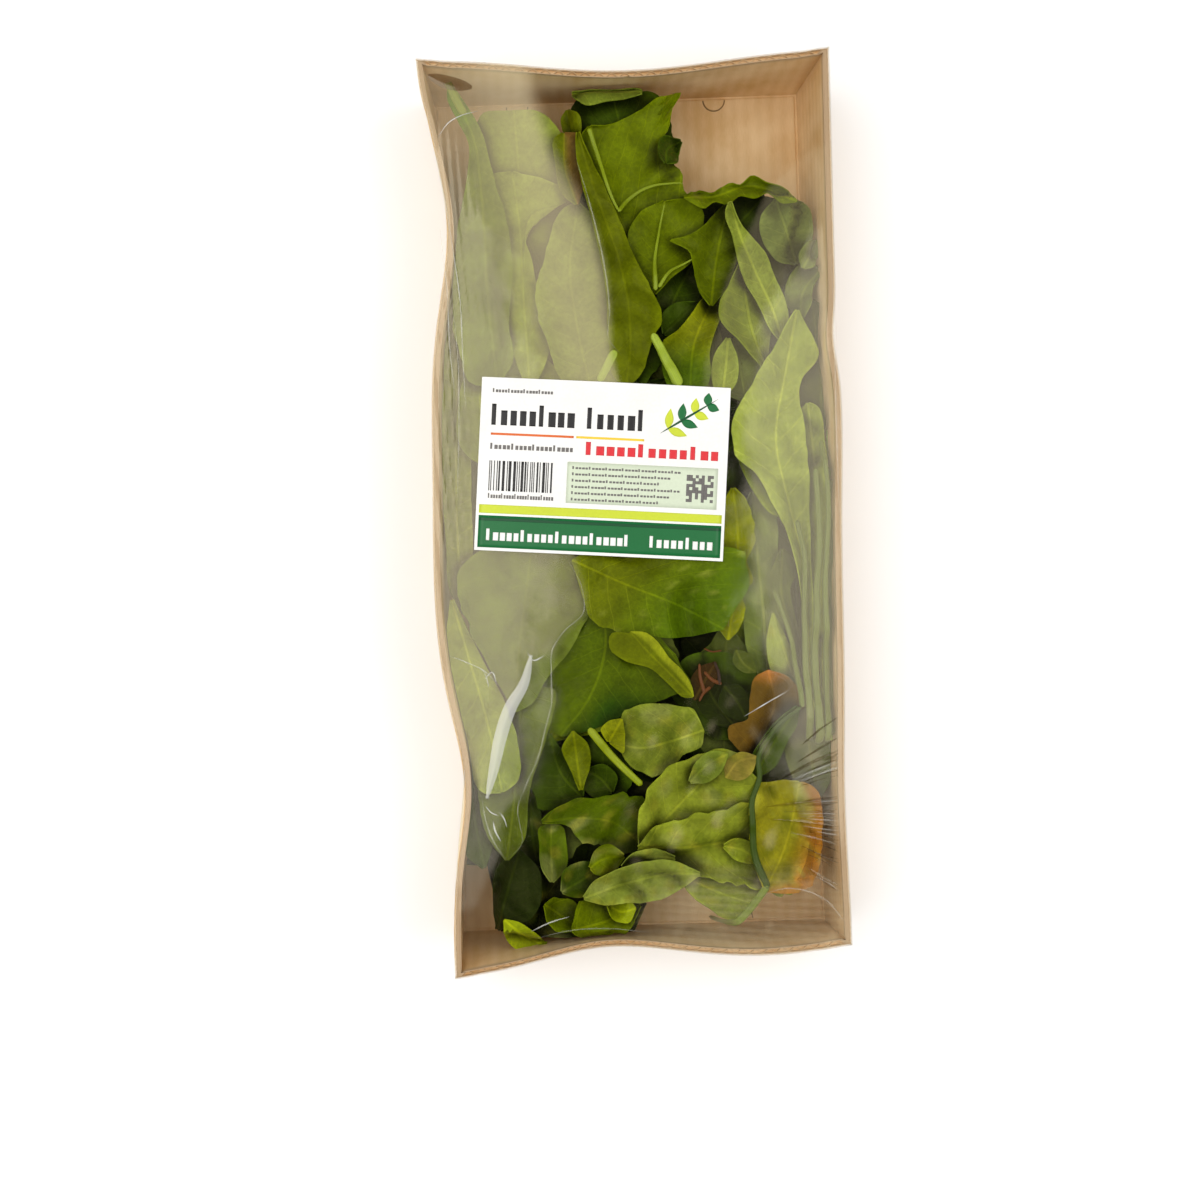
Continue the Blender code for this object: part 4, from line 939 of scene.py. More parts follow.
# Leaves from the bottom of the heap to its top: name, tint, how far the edges curl up (down if
# negative) in mm, midrib on the plan from stem end to tip, and the two edges between those ends.
LEAVES = (
    ("pocket", "deep", -1.5, ((640, 205), (625, 145), (612, 94)),
     ((600, 185), (580, 145), (570, 108), (586, 92)), ((668, 180), (672, 130), (664, 100), (640, 90))),
    ("top_bit", "olive", 0.5, ((575, 142), (571, 124), (567, 110)),
     ((565, 132), (562, 118)), ((580, 130), (577, 114))),
    ("top_edge", "fresh", 1.5, ((572, 94), (590, 91), (612, 91), (642, 92)),
     ((582, 84), (604, 81), (628, 83)), ((588, 104), (604, 100), (626, 97))),
    ("ruffle", "deep", 2.0, ((700, 262), (735, 228), (765, 196)),
     ((684, 226), (684, 200), (703, 196), (728, 189)), ((745, 262), (785, 240), (790, 205))),
    ("right_back", "shade", 1.0, ((822, 430), (818, 350), (812, 300)),
     ((796, 410), (792, 350), (800, 315)), ((834, 400), (833, 340), (826, 310))),
    ("right_back_low", "shade", 1.0, ((800, 640), (796, 560), (790, 470)),
     ((760, 620), (750, 540), (760, 480)), ((832, 620), (836, 540), (828, 470))),
    ("round", "grey", 1.5, ((796, 264), (786, 230), (776, 199)),
     ((778, 260), (764, 241), (763, 213)), ((808, 248), (812, 228), (808, 208), (794, 199))),
    ("spur", "grey", 1.0, ((801, 320), (803, 292), (822, 269)),
     ((789, 306), (794, 272), (806, 263)), ((810, 302), (812, 286))),
    ("spur_tip", "grey", 0.5, ((803, 268), (811, 254), (817, 240)),
     ((800, 256), (809, 243)), ((812, 266), (817, 252))),
    ("upper_left", "light", -1.0, ((522, 212), (518, 160), (514, 110)),
     ((490, 200), (476, 165), (476, 130), (484, 114)),
     ((552, 204), (564, 172), (560, 134), (547, 117), (530, 110))),
    ("left_long", "left", 0.8, ((464, 614), (459, 560), (456, 430), (457, 330), (462, 240)),
     ((455, 600), (447, 540), (443, 430), (447, 340), (452, 270)),
     ((470, 580), (470, 500), (468, 400), (466, 300))),
    ("left_fill", "left", 0.5, ((490, 470), (482, 420), (478, 350)),
     ((464, 450), (462, 390)), ((520, 450), (512, 380))),
    ("right_grey", "grey", 1.0, ((768, 690), (764, 620), (758, 560), (752, 492)),
     ((752, 660), (744, 608), (749, 560), (742, 516)), ((784, 660), (778, 600), (777, 550), (768, 500))),
    ("hole_dark", "deep", 1.0, ((715, 740), (725, 700), (724, 652)),
     ((690, 720), (672, 690), (690, 655)), ((745, 735), (757, 700), (748, 660))),
    ("hole_shred", "dark", 1.5, ((735, 727), (714, 700), (700, 668)),
     ((716, 724), (697, 700)), ((744, 706), (722, 676))),
    ("hole_rust", "rust", 0.8, ((694, 700), (703, 684), (716, 662)),
     ((690, 688), (700, 668)), ((704, 694), (716, 678))),
    ("shred_c", "dark", 1.2, ((724, 686), (736, 700), (748, 722)),
     ((719, 702), (734, 718)), ((738, 686), (749, 704))),
    ("shred_e", "shade", 0.8, ((736, 650), (744, 664), (756, 672)),
     ((734, 660), (746, 672)), ((744, 652), (754, 664))),
    ("right_low_grey", "shade", 1.0, ((818, 800), (810, 750), (802, 702)),
     ((796, 780), (786, 740), (794, 712)), ((834, 770), (832, 730), (815, 706))),
    ("rim_dark", "deep", 1.0, ((463, 726), (470, 790), (484, 868)),
     ((459, 750), (460, 800), (468, 856)), ((470, 745), (480, 790), (490, 850))),
    ("low_left_dark", "deep", 1.0, ((530, 790), (533, 840), (542, 880)),
     ((522, 815), (513, 836), (524, 860)), ((538, 806), (541, 845), (543, 866))),
    ("low_left_small", "green", 0.6, ((508, 858), (524, 880), (543, 900)),
     ((506, 866), (518, 885), (530, 896)), ((520, 855), (534, 876))),
    ("low_rust", "rust", 0.8, ((500, 930), (515, 905), (530, 884)),
     ((494, 912), (505, 888)), ((528, 925), (540, 905))),
    ("low_under", "dark", 1.0, ((498, 898), (560, 906), (646, 902)),
     ((510, 926), (560, 937), (630, 934)), ((512, 868), (560, 872), (625, 874))),
    ("low_corner", "dark", 1.0, ((497, 930), (508, 890), (520, 850)),
     ((494, 900), (499, 866)), ((534, 915), (536, 866))),
    ("corner_green", "bright", 0.8, ((504, 920), (522, 934), (547, 947)),
     ((506, 936), (518, 949)), ((518, 923), (534, 934))),
    ("crumple_left", "green", 2.0, ((545, 905), (560, 915), (578, 928)),
     ((550, 922), (562, 930)), ((556, 897), (574, 905))),
    ("crumple_low", "green", 2.0, ((572, 930), (605, 922), (640, 905)),
     ((580, 938), (606, 937), (630, 928)), ((576, 912), (598, 900), (628, 898))),
    ("crumple_small", "bright", 1.5, ((608, 905), (622, 912), (636, 908)),
     ((614, 918), (628, 922)), ((612, 896), (628, 898))),
    ("hidden_top", "left", 0.5, ((560, 400), (530, 378), (502, 352)),
     ((520, 396), (502, 372)), ((560, 376), (540, 356), (516, 344))),
    ("left_hazed", "light", 1.0, ((530, 392), (524, 300), (520, 230), (512, 172)),
     ((513, 350), (506, 327), (511, 290), (508, 240), (499, 200), (493, 174)),
     ((548, 350), (538, 300), (531, 262), (524, 238), (530, 216), (556, 206), (571, 196), (545, 180))),
    ("right_rim", "left", 0.5, ((837, 740), (838, 640), (836, 540), (830, 430)),
     ((834, 640), (829, 540), (824, 460)), ((841, 640), (843, 540), (838, 460))),
    ("right_long", "light", 0.8, ((824, 736), (822, 640), (820, 560), (816, 480), (808, 403)),
     ((820, 640), (812, 570), (806, 500), (802, 440), (800, 412)),
     ((827, 640), (828, 560), (828, 500), (823, 440), (815, 406))),
    ("big_green", "green", 0.8, ((653, 294), (632, 242), (617, 212), (605, 178), (590, 126)),
     ((638, 286), (618, 242), (602, 200), (585, 155), (583, 134)),
     ((672, 275), (696, 240), (700, 206), (688, 196), (683, 189), (681, 175), (662, 157), (660, 140),
      (667, 129), (670, 112), (681, 92), (662, 97), (626, 117), (605, 126))),
    ("curl", "deep", 2.5, ((666, 163), (667, 150), (681, 141)),
     ((660, 152), (663, 138)), ((677, 162), (678, 152))),
    ("inner_dark", "deep", 1.0, ((668, 318), (676, 296), (692, 264)),
     ((658, 302), (662, 286), (676, 270)), ((686, 316), (698, 300), (696, 280))),
    ("mid_green", "green", 1.0, ((654, 294), (654, 264), (660, 228), (665, 201)),
     ((640, 286), (631, 262), (629, 238), (642, 212)),
     ((670, 278), (690, 262), (701, 240), (702, 214), (688, 199))),
    ("dark_bits", "deep", 2.0, ((664, 334), (680, 318), (696, 303)),
     ((662, 318), (676, 304)), ((682, 334), (697, 318))),
    ("pale_strip", "light", 0.8, ((712, 396), (712, 352), (716, 322)),
     ((703, 385), (704, 345)), ((722, 388), (722, 345))),
    ("blue_low", "grey", 0.8, ((746, 402), (740, 368), (733, 338)),
     ((722, 390), (723, 352)), ((764, 390), (754, 356))),
    ("beside_label", "light", 0.8, ((722, 398), (726, 365), (728, 338)),
     ((714, 385), (717, 352)), ((734, 385), (736, 356))),
    ("left_broad", "left", 1.2, ((594, 400), (578, 330), (570, 270), (578, 203)),
     ((566, 385), (549, 340), (539, 315), (537, 290), (542, 272), (549, 245), (556, 222), (566, 208)),
     ((624, 370), (612, 345), (609, 315), (608, 284), (600, 247), (592, 216))),
    ("olive_tip", "olive", 0.5, ((577, 204), (565, 168), (564, 133)),
     ((566, 196), (556, 160), (556, 138)), ((582, 190), (579, 150), (574, 133))),
    ("yellow", "yellow", 1.5, ((690, 396), (694, 345), (717, 291)),
     ((671, 388), (664, 362), (663, 343), (679, 331), (694, 313), (707, 296)),
     ((706, 385), (709, 350), (715, 327), (722, 308))),
    ("pointed", "green", 1.5, ((711, 305), (716, 262), (722, 230), (729, 203)),
     ((701, 292), (695, 268), (691, 251), (672, 240), (689, 236), (706, 226), (718, 212)),
     ((724, 292), (734, 266), (739, 246), (736, 222))),
    ("ruffle_edge", "green", 2.5, ((684, 197), (712, 197), (748, 186), (797, 201)),
     ((694, 193), (703, 192), (712, 195), (721, 189), (730, 184), (741, 186), (752, 177), (766, 184),
      (781, 188)),
     ((694, 203), (703, 207), (714, 200), (727, 203), (740, 194), (755, 197), (768, 191), (782, 202))),
    ("blue_grey", "soft", 1.2, ((768, 374), (752, 330), (741, 262)),
     ((754, 356), (739, 338), (725, 323), (720, 309), (731, 284)),
     ((768, 350), (770, 327), (766, 305), (750, 280))),
    ("small_dark", "green", 1.0, ((785, 517), (762, 482), (737, 445)),
     ((772, 513), (756, 492), (741, 462)), ((777, 500), (760, 470), (746, 448))),
    ("mottled", "yellow", 1.5, ((728, 640), (735, 590), (738, 540), (733, 488)),
     ((715, 620), (716, 560), (720, 510)),
     ((738, 629), (745, 611), (741, 596), (752, 578), (746, 559), (755, 543), (751, 516), (741, 496))),
    ("low_narrow", "light", 0.8, ((808, 707), (790, 668), (773, 613)),
     ((790, 698), (771, 666), (768, 638)), ((803, 690), (796, 664), (784, 636))),
    ("diamond", "shade", 1.2, ((812, 706), (800, 652), (782, 596), (782, 549)),
     ((803, 668), (784, 622), (772, 598), (770, 582)), ((807, 660), (793, 612), (789, 588), (798, 566))),
    ("green_wide", "green", 0.8, ((545, 742), (600, 712), (668, 690)),
     ((566, 738), (606, 728), (645, 710)), ((570, 700), (610, 680), (660, 676))),
    ("green_large", "leafy", -1.2, ((600, 590), (605, 650), (588, 700), (560, 736)),
     ((566, 606), (549, 640), (543, 690), (543, 725)),
     ((642, 622), (676, 658), (690, 682), (668, 696), (640, 707), (608, 722), (584, 731))),
    ("veined", "soft", 1.2, ((704, 730), (668, 742), (640, 748), (619, 744)),
     ((694, 711), (671, 706), (643, 708), (625, 713)),
     ((700, 747), (684, 753), (673, 765), (652, 775), (630, 765))),
    ("dark_round", "deep", 1.2, ((612, 792), (600, 778), (586, 770)),
     ((595, 797), (584, 786)), ((616, 778), (604, 766))),
    ("dark_fold", "deep", 1.0, ((582, 797), (562, 775), (549, 733)),
     ((560, 808), (540, 808), (537, 796), (529, 780), (540, 755)), ((583, 788), (575, 774), (563, 755))),
    ("small_bright", "olive", 1.0, ((581, 790), (577, 760), (573, 731)),
     ((571, 768), (563, 749)), ((588, 768), (588, 748))),
    ("small_wedge", "yellow", 0.8, ((609, 742), (614, 733), (622, 719)),
     ((602, 730), (609, 722)), ((622, 752), (624, 738))),
    ("brown", "brown", 2.2, ((754, 768), (762, 735), (774, 706), (768, 670)),
     ((742, 752), (728, 737), (730, 727), (748, 720), (751, 696), (757, 676)),
     ((770, 758), (786, 730), (796, 712), (806, 703), (801, 690), (786, 677))),
    ("brown_back", "deep", 1.5, ((753, 778), (771, 748), (797, 707)),
     ((752, 762), (765, 738), (782, 718)), ((772, 768), (786, 742), (797, 722))),
    ("low_mid", "leafy", 1.0, ((552, 882), (551, 852), (551, 824)),
     ((544, 870), (541, 845), (541, 828)), ((563, 872), (565, 845), (560, 826))),
    ("low_green", "leafy", 1.0, ((542, 822), (580, 818), (612, 822), (646, 850)),
     ((552, 812), (570, 802), (600, 799), (638, 797), (650, 815)),
     ((552, 822), (570, 826), (578, 838), (600, 845), (624, 853))),
    ("low_side", "deep", 1.0, ((562, 892), (582, 880), (602, 868)),
     ((572, 896), (594, 890)), ((564, 874), (584, 862))),
    ("low_small", "green", 1.2, ((590, 868), (606, 858), (624, 856)),
     ((596, 874), (614, 870)), ((596, 852), (610, 846))),
    ("low_upper", "glare", 1.6, ((640, 847), (672, 812), (705, 780), (742, 755)),
     ((640, 818), (650, 790), (666, 772), (698, 757), (722, 750)),
     ((676, 848), (714, 838), (746, 815), (758, 786))),
    ("low_light", "soft", 1.0, ((682, 876), (718, 892), (754, 904)),
     ((688, 890), (712, 908), (732, 920)), ((704, 873), (738, 882), (762, 894))),
    ("low_wide", "glare", 1.5, ((638, 848), (690, 847), (745, 840), (812, 846)),
     ((652, 832), (690, 818), (740, 806), (792, 806)), ((660, 866), (700, 874), (745, 884), (795, 890))),
    ("low_tan", "tan", 1.2, ((726, 778), (738, 762), (757, 757)),
     ((726, 764), (742, 753)), ((738, 780), (752, 771))),
    ("low_spotted", "fresh", 1.2, ((690, 782), (708, 764), (728, 754)),
     ((696, 764), (712, 752)), ((706, 782), (722, 768))),
    ("low_round", "glare", 1.0, ((724, 846), (742, 850), (760, 862)),
     ((732, 841), (750, 843)), ((732, 856), (748, 862))),
    ("low_teal", "light", 1.0, ((622, 867), (648, 857), (675, 858)),
     ((632, 856), (654, 850)), ((640, 869), (662, 867))),
    ("lower_left", "flap", 1.0, ((522, 686), (518, 760), (507, 860)),
     ((500, 700), (482, 755), (480, 800), (492, 842)), ((552, 690), (545, 738), (528, 788), (520, 845))),
    ("low_yellow", "amber", 1.8, ((765, 892), (784, 850), (800, 782)),
     ((757, 866), (752, 828), (758, 788), (780, 781)),
     ((790, 893), (813, 882), (819, 852), (820, 808), (814, 788))),
    ("low_grey", "light", 1.0, ((584, 898), (625, 884), (670, 874), (700, 874)),
     ((598, 903), (630, 902), (660, 898), (684, 886)), ((592, 886), (612, 874), (640, 864), (674, 862))),
    ("rim_long", "left", 1.0, ((452, 600), (468, 655), (488, 725), (502, 792)),
     ((447, 640), (455, 700), (468, 755), (486, 793)),
     ((462, 622), (484, 665), (502, 700), (516, 742), (514, 784))),
    ("hazed_large", "low_veil", -1.5, ((532, 545), (524, 610), (518, 660), (516, 712)),
     ((480, 552), (458, 574), (462, 605), (473, 632), (486, 658), (500, 684)),
     ((582, 560), (590, 606), (570, 648), (545, 680), (530, 704))),
    ("below_label", "olive", -1.0, ((572, 560), (620, 582), (680, 606), (724, 629)),
     ((600, 546), (650, 540), (710, 545), (745, 556), (749, 577), (745, 594), (733, 613)),
     ((577, 575), (584, 599), (594, 621), (610, 628), (635, 632), (665, 636), (694, 635), (712, 631))),
    ("folded", "olive", 2.0, ((693, 697), (668, 672), (646, 650), (630, 632)),
     ((686, 697), (670, 684), (652, 668), (626, 660), (610, 646), (611, 633)),
     ((692, 690), (682, 672), (669, 659), (657, 643), (644, 633))),
    ("light_strip", "light", 1.4, ((783, 342), (772, 308), (757, 275), (742, 240), (730, 202)),
     ((774, 332), (760, 304), (747, 282), (739, 258), (733, 232), (727, 211)),
     ((787, 316), (783, 297), (775, 281), (766, 258), (754, 241), (738, 222))),
    ("triangle", "light", 1.2, ((811, 736), (808, 640), (803, 560), (788, 500), (776, 440), (786, 370),
      (797, 310)),
     ((807, 640), (797, 560), (788, 530), (772, 500), (758, 474), (738, 456), (735, 415), (748, 394),
      (761, 369),
      (775, 349), (787, 326)),
     ((814, 640), (809, 560), (808, 510), (807, 470), (804, 430), (798, 396), (801, 378), (817, 356),
      (813, 340),
      (806, 326))),
    ("corner_long", "veil", 1.2, ((449, 84), (463, 113), (474, 140), (480, 180), (484, 230), (487, 290),
      (492, 340),
      (498, 386)),
     ((449, 98), (460, 121), (470, 142), (470, 166), (464, 200), (458, 235), (455, 272), (454, 312),
      (460, 352),
      (474, 384)),
     ((455, 92), (468, 111), (480, 132), (487, 156), (494, 184), (503, 213), (510, 247), (511, 284),
      (507, 327),
      (512, 358))),
    ("olive_long", "olive", 1.2, ((578, 132), (588, 168), (603, 214), (618, 256), (628, 300),
      (630, 345), (626, 388)),
     ((577, 146), (581, 174), (592, 214), (600, 247), (607, 284), (609, 316), (610, 345), (614, 376)),
     ((580, 138), (594, 168), (608, 197), (620, 224), (629, 248), (640, 270), (652, 293), (660, 320),
      (654, 333),
      (648, 350), (641, 372))),
)

# Bare stalks and raised veins: name, tint, half width at both ends in mm, and points on the plan.
STALKS = (
    ("cut_stalk", "stalk", (2.0, 2.4), ((598, 384), (606, 369), (614, 354))),
    ("centre_stalk", "stalk", (2.4, 1.6), ((678, 388), (664, 360), (651, 337))),
    ("slant_stalk", "bright", (1.7, 1.3), ((588, 727), (612, 756), (641, 784))),
    ("hole_stem_a", "russet", (0.5, 0.8), ((697, 663), (698, 676), (702, 691))),
    ("hole_stem_b", "russet", (0.7, 0.4), ((708, 686), (702, 691), (697, 700))),
    ("hole_stem_c", "russet", (0.6, 0.8), ((702, 671), (710, 679), (719, 683))),
    ("hole_stem_d", "rust", (0.5, 0.7), ((712, 661), (716, 671), (717, 684))),
    ("hole_stem_e", "russet", (0.3, 0.3), ((702, 648), (709, 651), (719, 650))),
    ("low_stalk", "deep", (0.7, 1.6), ((798, 706), (770, 732), (756, 756), (757, 776), (750, 798), (751, 826),
      (753, 852), (766, 886))),
    ("low_stalk_end", "fresh", (1.5, 1.7), ((766, 884), (744, 912), (720, 934))),
    ("rib_left", "rib", (1.0, 0.5), ((589, 126), (600, 160), (606, 185), (618, 212))),
    ("rib_arc", "rib", (0.9, 0.3), ((618, 213), (628, 198), (640, 189), (657, 183), (684, 182))),
    ("rib_mid", "rib", (0.9, 0.3), ((654, 294), (654, 264), (660, 228), (665, 203))),
    ("rib_low", "rib", (0.8, 0.3), ((657, 291), (668, 275), (691, 261))),
    ("right_stalk_a", "reed", (1.5, 1.0), ((810, 740), (806, 690), (804, 620), (803, 552), (797, 520))),
    ("right_stalk_b", "reed", (1.7, 1.1), ((819, 744), (815, 680), (815, 600), (817, 530), (813, 470))),
    ("right_stalk_c", "reed", (1.3, 0.9), ((826, 741), (827, 670), (823, 590), (826, 500), (821, 440))),
    ("right_stalk_d", "reed", (1.1, 0.8), ((800, 706), (794, 660), (779, 610), (771, 590))),
    ("right_stalk_e", "reed", (1.2, 0.8), ((833, 735), (834, 650), (831, 560), (832, 480))),
    ("corner_stalk", "soft", (1.5, 1.7), ((446, 80), (454, 98), (465, 118))),
)


# How ragged the edge of a leaf is, how strongly its veins show, and which leaves have pale dots.
EDGE_RAGGED = 0.04
VEINS = 0.7
LOW_VEINS = 0.45
RAGGED = {
    "under": 0.12, "mottled": 0.16, "crumple_low": 0.2, "crumple_left": 0.2, "low_wide": 0.11,
    "low_upper": 0.11, "low_green": 0.13, "veined": 0.08, "low_yellow": 0.08, "low_light": 0.09,
    "brown": 0.07, "below_label": 0.05, "pocket": 0.06,
}
VEIN_STRENGTH = {
    "olive_long": 0.3, "left_broad": 0.35, "left_hazed": 0.4, "corner_long": 0.4, "hazed_large": 0.3,
    "upper_left": 0.3, "folded": 0.5, "under": 0.35, "brown": 0.5, "dark_bits": 0.2, "hole_dark": 0.2,
}
DOTTED = ("mottled", "low_upper", "low_wide", "low_yellow", "veined", "below_label")


def blur(field, radius):
    """Mean over a square window, run twice along each side."""
    kernel = np.ones(2 * radius + 1) / (2 * radius + 1)
    for _ in range(2):
        for axis in (0, 1):
            width = [(0, 0), (0, 0)]
            width[axis] = (radius, radius)
            padded = np.pad(field, width, mode="edge")
            total = np.cumsum(padded, axis=axis)
            total = np.concatenate([np.zeros_like(np.take(total, [0], axis)), total], axis=axis)
            size = field.shape[axis]
            upper = np.take(total, np.arange(len(kernel), len(kernel) + size), axis)
            field = (upper - np.take(total, np.arange(size), axis)) * kernel[0]
    return field


def grow(field, radius):
    """Largest value within a square window."""
    for axis in (0, 1):
        width = [(0, 0), (0, 0)]
        width[axis] = (radius, radius)
        padded = np.pad(field, width, mode="edge")
        size = field.shape[axis]
        parts = [np.take(padded, np.arange(k, k + size), axis) for k in range(2 * radius + 1)]
        field = np.max(parts, axis=0)
    return field


def envelope(ground):
    """A smooth surface that lies on top of the ground: its mean, raised where the ground is higher."""
    surface = blur(ground, 4)
    for _ in range(4):
        surface = surface + blur(grow(np.clip(ground - surface, 0, None), 2), 2)
    return surface


def cell_of(x, y):
    """Row and column of the height field's cell at (x, y)."""
    i = np.clip(np.round((x + HALF_FIELD[0]) / CELL).astype(int), 0, 2 * HALF_FIELD[0])
    j = np.clip(np.round((y + HALF_FIELD[1]) / CELL).astype(int), 0, 2 * HALF_FIELD[1])
    return i, j


def read_field(field, x, y):
    """The height field between its cells, by straight lines in both directions."""
    u = np.clip((x + HALF_FIELD[0]) / CELL, 0, field.shape[0] - 1.001)
    v = np.clip((y + HALF_FIELD[1]) / CELL, 0, field.shape[1] - 1.001)
    i, j = u.astype(int), v.astype(int)
    u, v = u - i, v - j
    low = field[i, j] * (1 - u) + field[i + 1, j] * u
    high = field[i, j + 1] * (1 - u) + field[i + 1, j + 1] * u
    return low * (1 - v) + high * v


def refine(grid, times):
    """A grid of values with times as many steps each way, by straight lines."""
    for axis in (0, 1):
        size = grid.shape[axis]
        at = np.linspace(0, size - 1, (size - 1) * times + 1)
        low = np.minimum(at.astype(int), size - 2)
        part = (at - low).reshape([-1 if k == axis else 1 for k in range(grid.ndim)])
        grid = np.take(grid, low, axis) * (1 - part) + np.take(grid, low + 1, axis) * part
    return grid


WALL_LINES = [wall_side(n, np.linspace(0, 1, 240), [0.93], BOARD + 0.6)[0] for n in range(4)]


def keep_inside(points):
    """Moves points that would cross a wall of the tray back to its inner face."""
    low, right, high, left = WALL_LINES
    x = np.minimum(points[..., 0], np.interp(points[..., 1], right[:, 1], right[:, 0]))
    x = np.maximum(x, np.interp(points[..., 1], left[::-1, 1], left[::-1, 0]))
    y = np.maximum(points[..., 1], np.interp(x, low[:, 0], low[:, 1]))
    y = np.minimum(y, np.interp(x, high[::-1, 0], high[::-1, 1]))
    return np.stack([x, y], axis=-1)


def leaf_plan(midrib, edges, draw, ragged):
    """Flat blade [along, across]: straight lines from the midrib to two edge curves.

    Returns its points, the share across from -1 to 1, and distances across and along in mm.
    """
    ends = (midrib[0], midrib[-1])
    middle = to_pack(midrib, LEAF_DEPTH)
    length = np.linalg.norm(np.diff(middle, axis=0), axis=1).sum()
    along = int(np.clip(length / 1.5, 16, 100))
    middle = smooth_curve(middle, along + 1)
    sides = [smooth_curve(to_pack((ends[0], *edge, ends[1]), LEAF_DEPTH), along + 1) for edge in edges]
    ahead = np.gradient(middle, axis=0)
    ahead /= np.linalg.norm(ahead, axis=1)[:, None]
    aside = np.column_stack([-ahead[:, 1], ahead[:, 0]])
    offsets = [side - middle for side in sides]
    if (offsets[0] * aside).sum() < (offsets[1] * aside).sum():
        offsets.reverse()
    run = np.linspace(0, length, along + 1)
    for number, sign in enumerate((1, -1)):
        waves = ripples(run, 0 * run, 11, draw.integers(1 << 30))
        waves = waves + 0.6 * ripples(run, 0 * run, 4.5, draw.integers(1 << 30))
        offsets[number] = offsets[number] * (1 + ragged * waves)[:, None] + sign * END_WIDTH * aside
    width = np.linalg.norm(offsets[0] - offsets[1], axis=1).mean()
    half = int(np.clip(width / 2.8, 5, 32))
    share = np.linspace(-1, 1, 2 * half + 1)
    share = share * (0.55 + 0.45 * np.abs(share))
    left = np.clip(share, 0, 1)[None, :, None] * offsets[0][:, None]
    right = np.clip(-share, 0, 1)[None, :, None] * offsets[1][:, None]
    flat = middle[:, None] + left + right
    across = np.linalg.norm(left + right, axis=-1) * np.sign(share)
    return flat, share, across, np.broadcast_to(run[:, None], across.shape)


def leaf_relief(share, across, run, curl, draw, spacing):
    """Height of the blade above what it lies on, and the place of each point between its side veins.

    Curl lifts the edges with the square of the share across; the tissue puffs up between side
    veins that leave the midrib every spacing mm and sweep forward; the edge waves.
    """
    vein = (run - 0.75 * np.abs(across)) / spacing + 0.5 * (across > 0)
    lift = curl * share**2 if curl > 0 else -curl * (1 - share**2)
    puff = 0.5 * (0.5 - 0.5 * np.cos(2 * math.pi * vein)) * (1 - share**4) * np.clip(np.abs(across) / 2, 0, 1)
    beat = draw.uniform(12, 20)
    wave = (0.5 + 0.5 * np.sin(2 * math.pi * run / beat + 6 * draw.random() + 1.5 * np.sign(across)))
    ruffle = (0.5 + 0.35 * abs(curl)) * wave * np.abs(share) ** 3
    rib = 0.3 * np.exp(-((across / 0.8) ** 2))
    tilt = draw.uniform(-0.8, 0.8) * share
    buckle = 0.45 * (1 + ripples(across, run, 15, draw.integers(1 << 30)))
    return lift + puff + ruffle + rib + tilt + abs(tilt).max() + buckle, vein


def lay_leaf(ground, above, flat, relief, rest):
    """Lays a blade on the ground, held down by the film, and raises the ground to it.

    Its stiffness holds it at the height rest where nothing lies under it. A point drawn on the
    plan moves out from under the camera as it comes to lie deeper.
    """
    surface = envelope(ground)
    foot = to_pack(CAMERA_FOOT)
    placed = keep_inside(flat)
    for _ in range(3):
        x, y = placed[..., 0], placed[..., 1]
        hang = rest - DROOP * np.clip(np.abs(y) - DROOP_FROM, 0, None) ** 2
        height = np.maximum(read_field(surface, x, y) + LEAF_GAP, hang) + relief
        roof = film_height(x, y) - FILM_CLEARANCE - LAYER_STEP * read_field(above, x, y)
        height = np.minimum(height, roof)
        upper = np.concatenate([placed, height[..., None]], axis=-1)
        scale = (CAMERA_HEIGHT + RIM_TOP - height) / (CAMERA_HEIGHT + LEAF_DEPTH)
        placed = keep_inside(foot + (flat - foot) * scale[..., None])
    dense = refine(upper, 3)
    i, j = cell_of(dense[..., 0], dense[..., 1])
    np.maximum.at(ground, (i.ravel(), j.ravel()), dense[..., 2].ravel())
    return upper


def blade_cover(flat):
    """Cells of the height field under a flat blade, as a field of 0 and 1."""
    cover = np.zeros((2 * HALF_FIELD[0] + 1, 2 * HALF_FIELD[1] + 1))
    dense = refine(flat, 3)
    cover[cell_of(dense[..., 0], dense[..., 1])] = 1
    return cover


def leaf_solid(upper):
    """Both faces of a blade, LEAF_THICKNESS apart along its normals, closed round the edge."""
    normal = grid_normals(upper)
    normal[..., 2] = np.abs(normal[..., 2])
    return closed_sheet(upper, upper - LEAF_THICKNESS * normal)


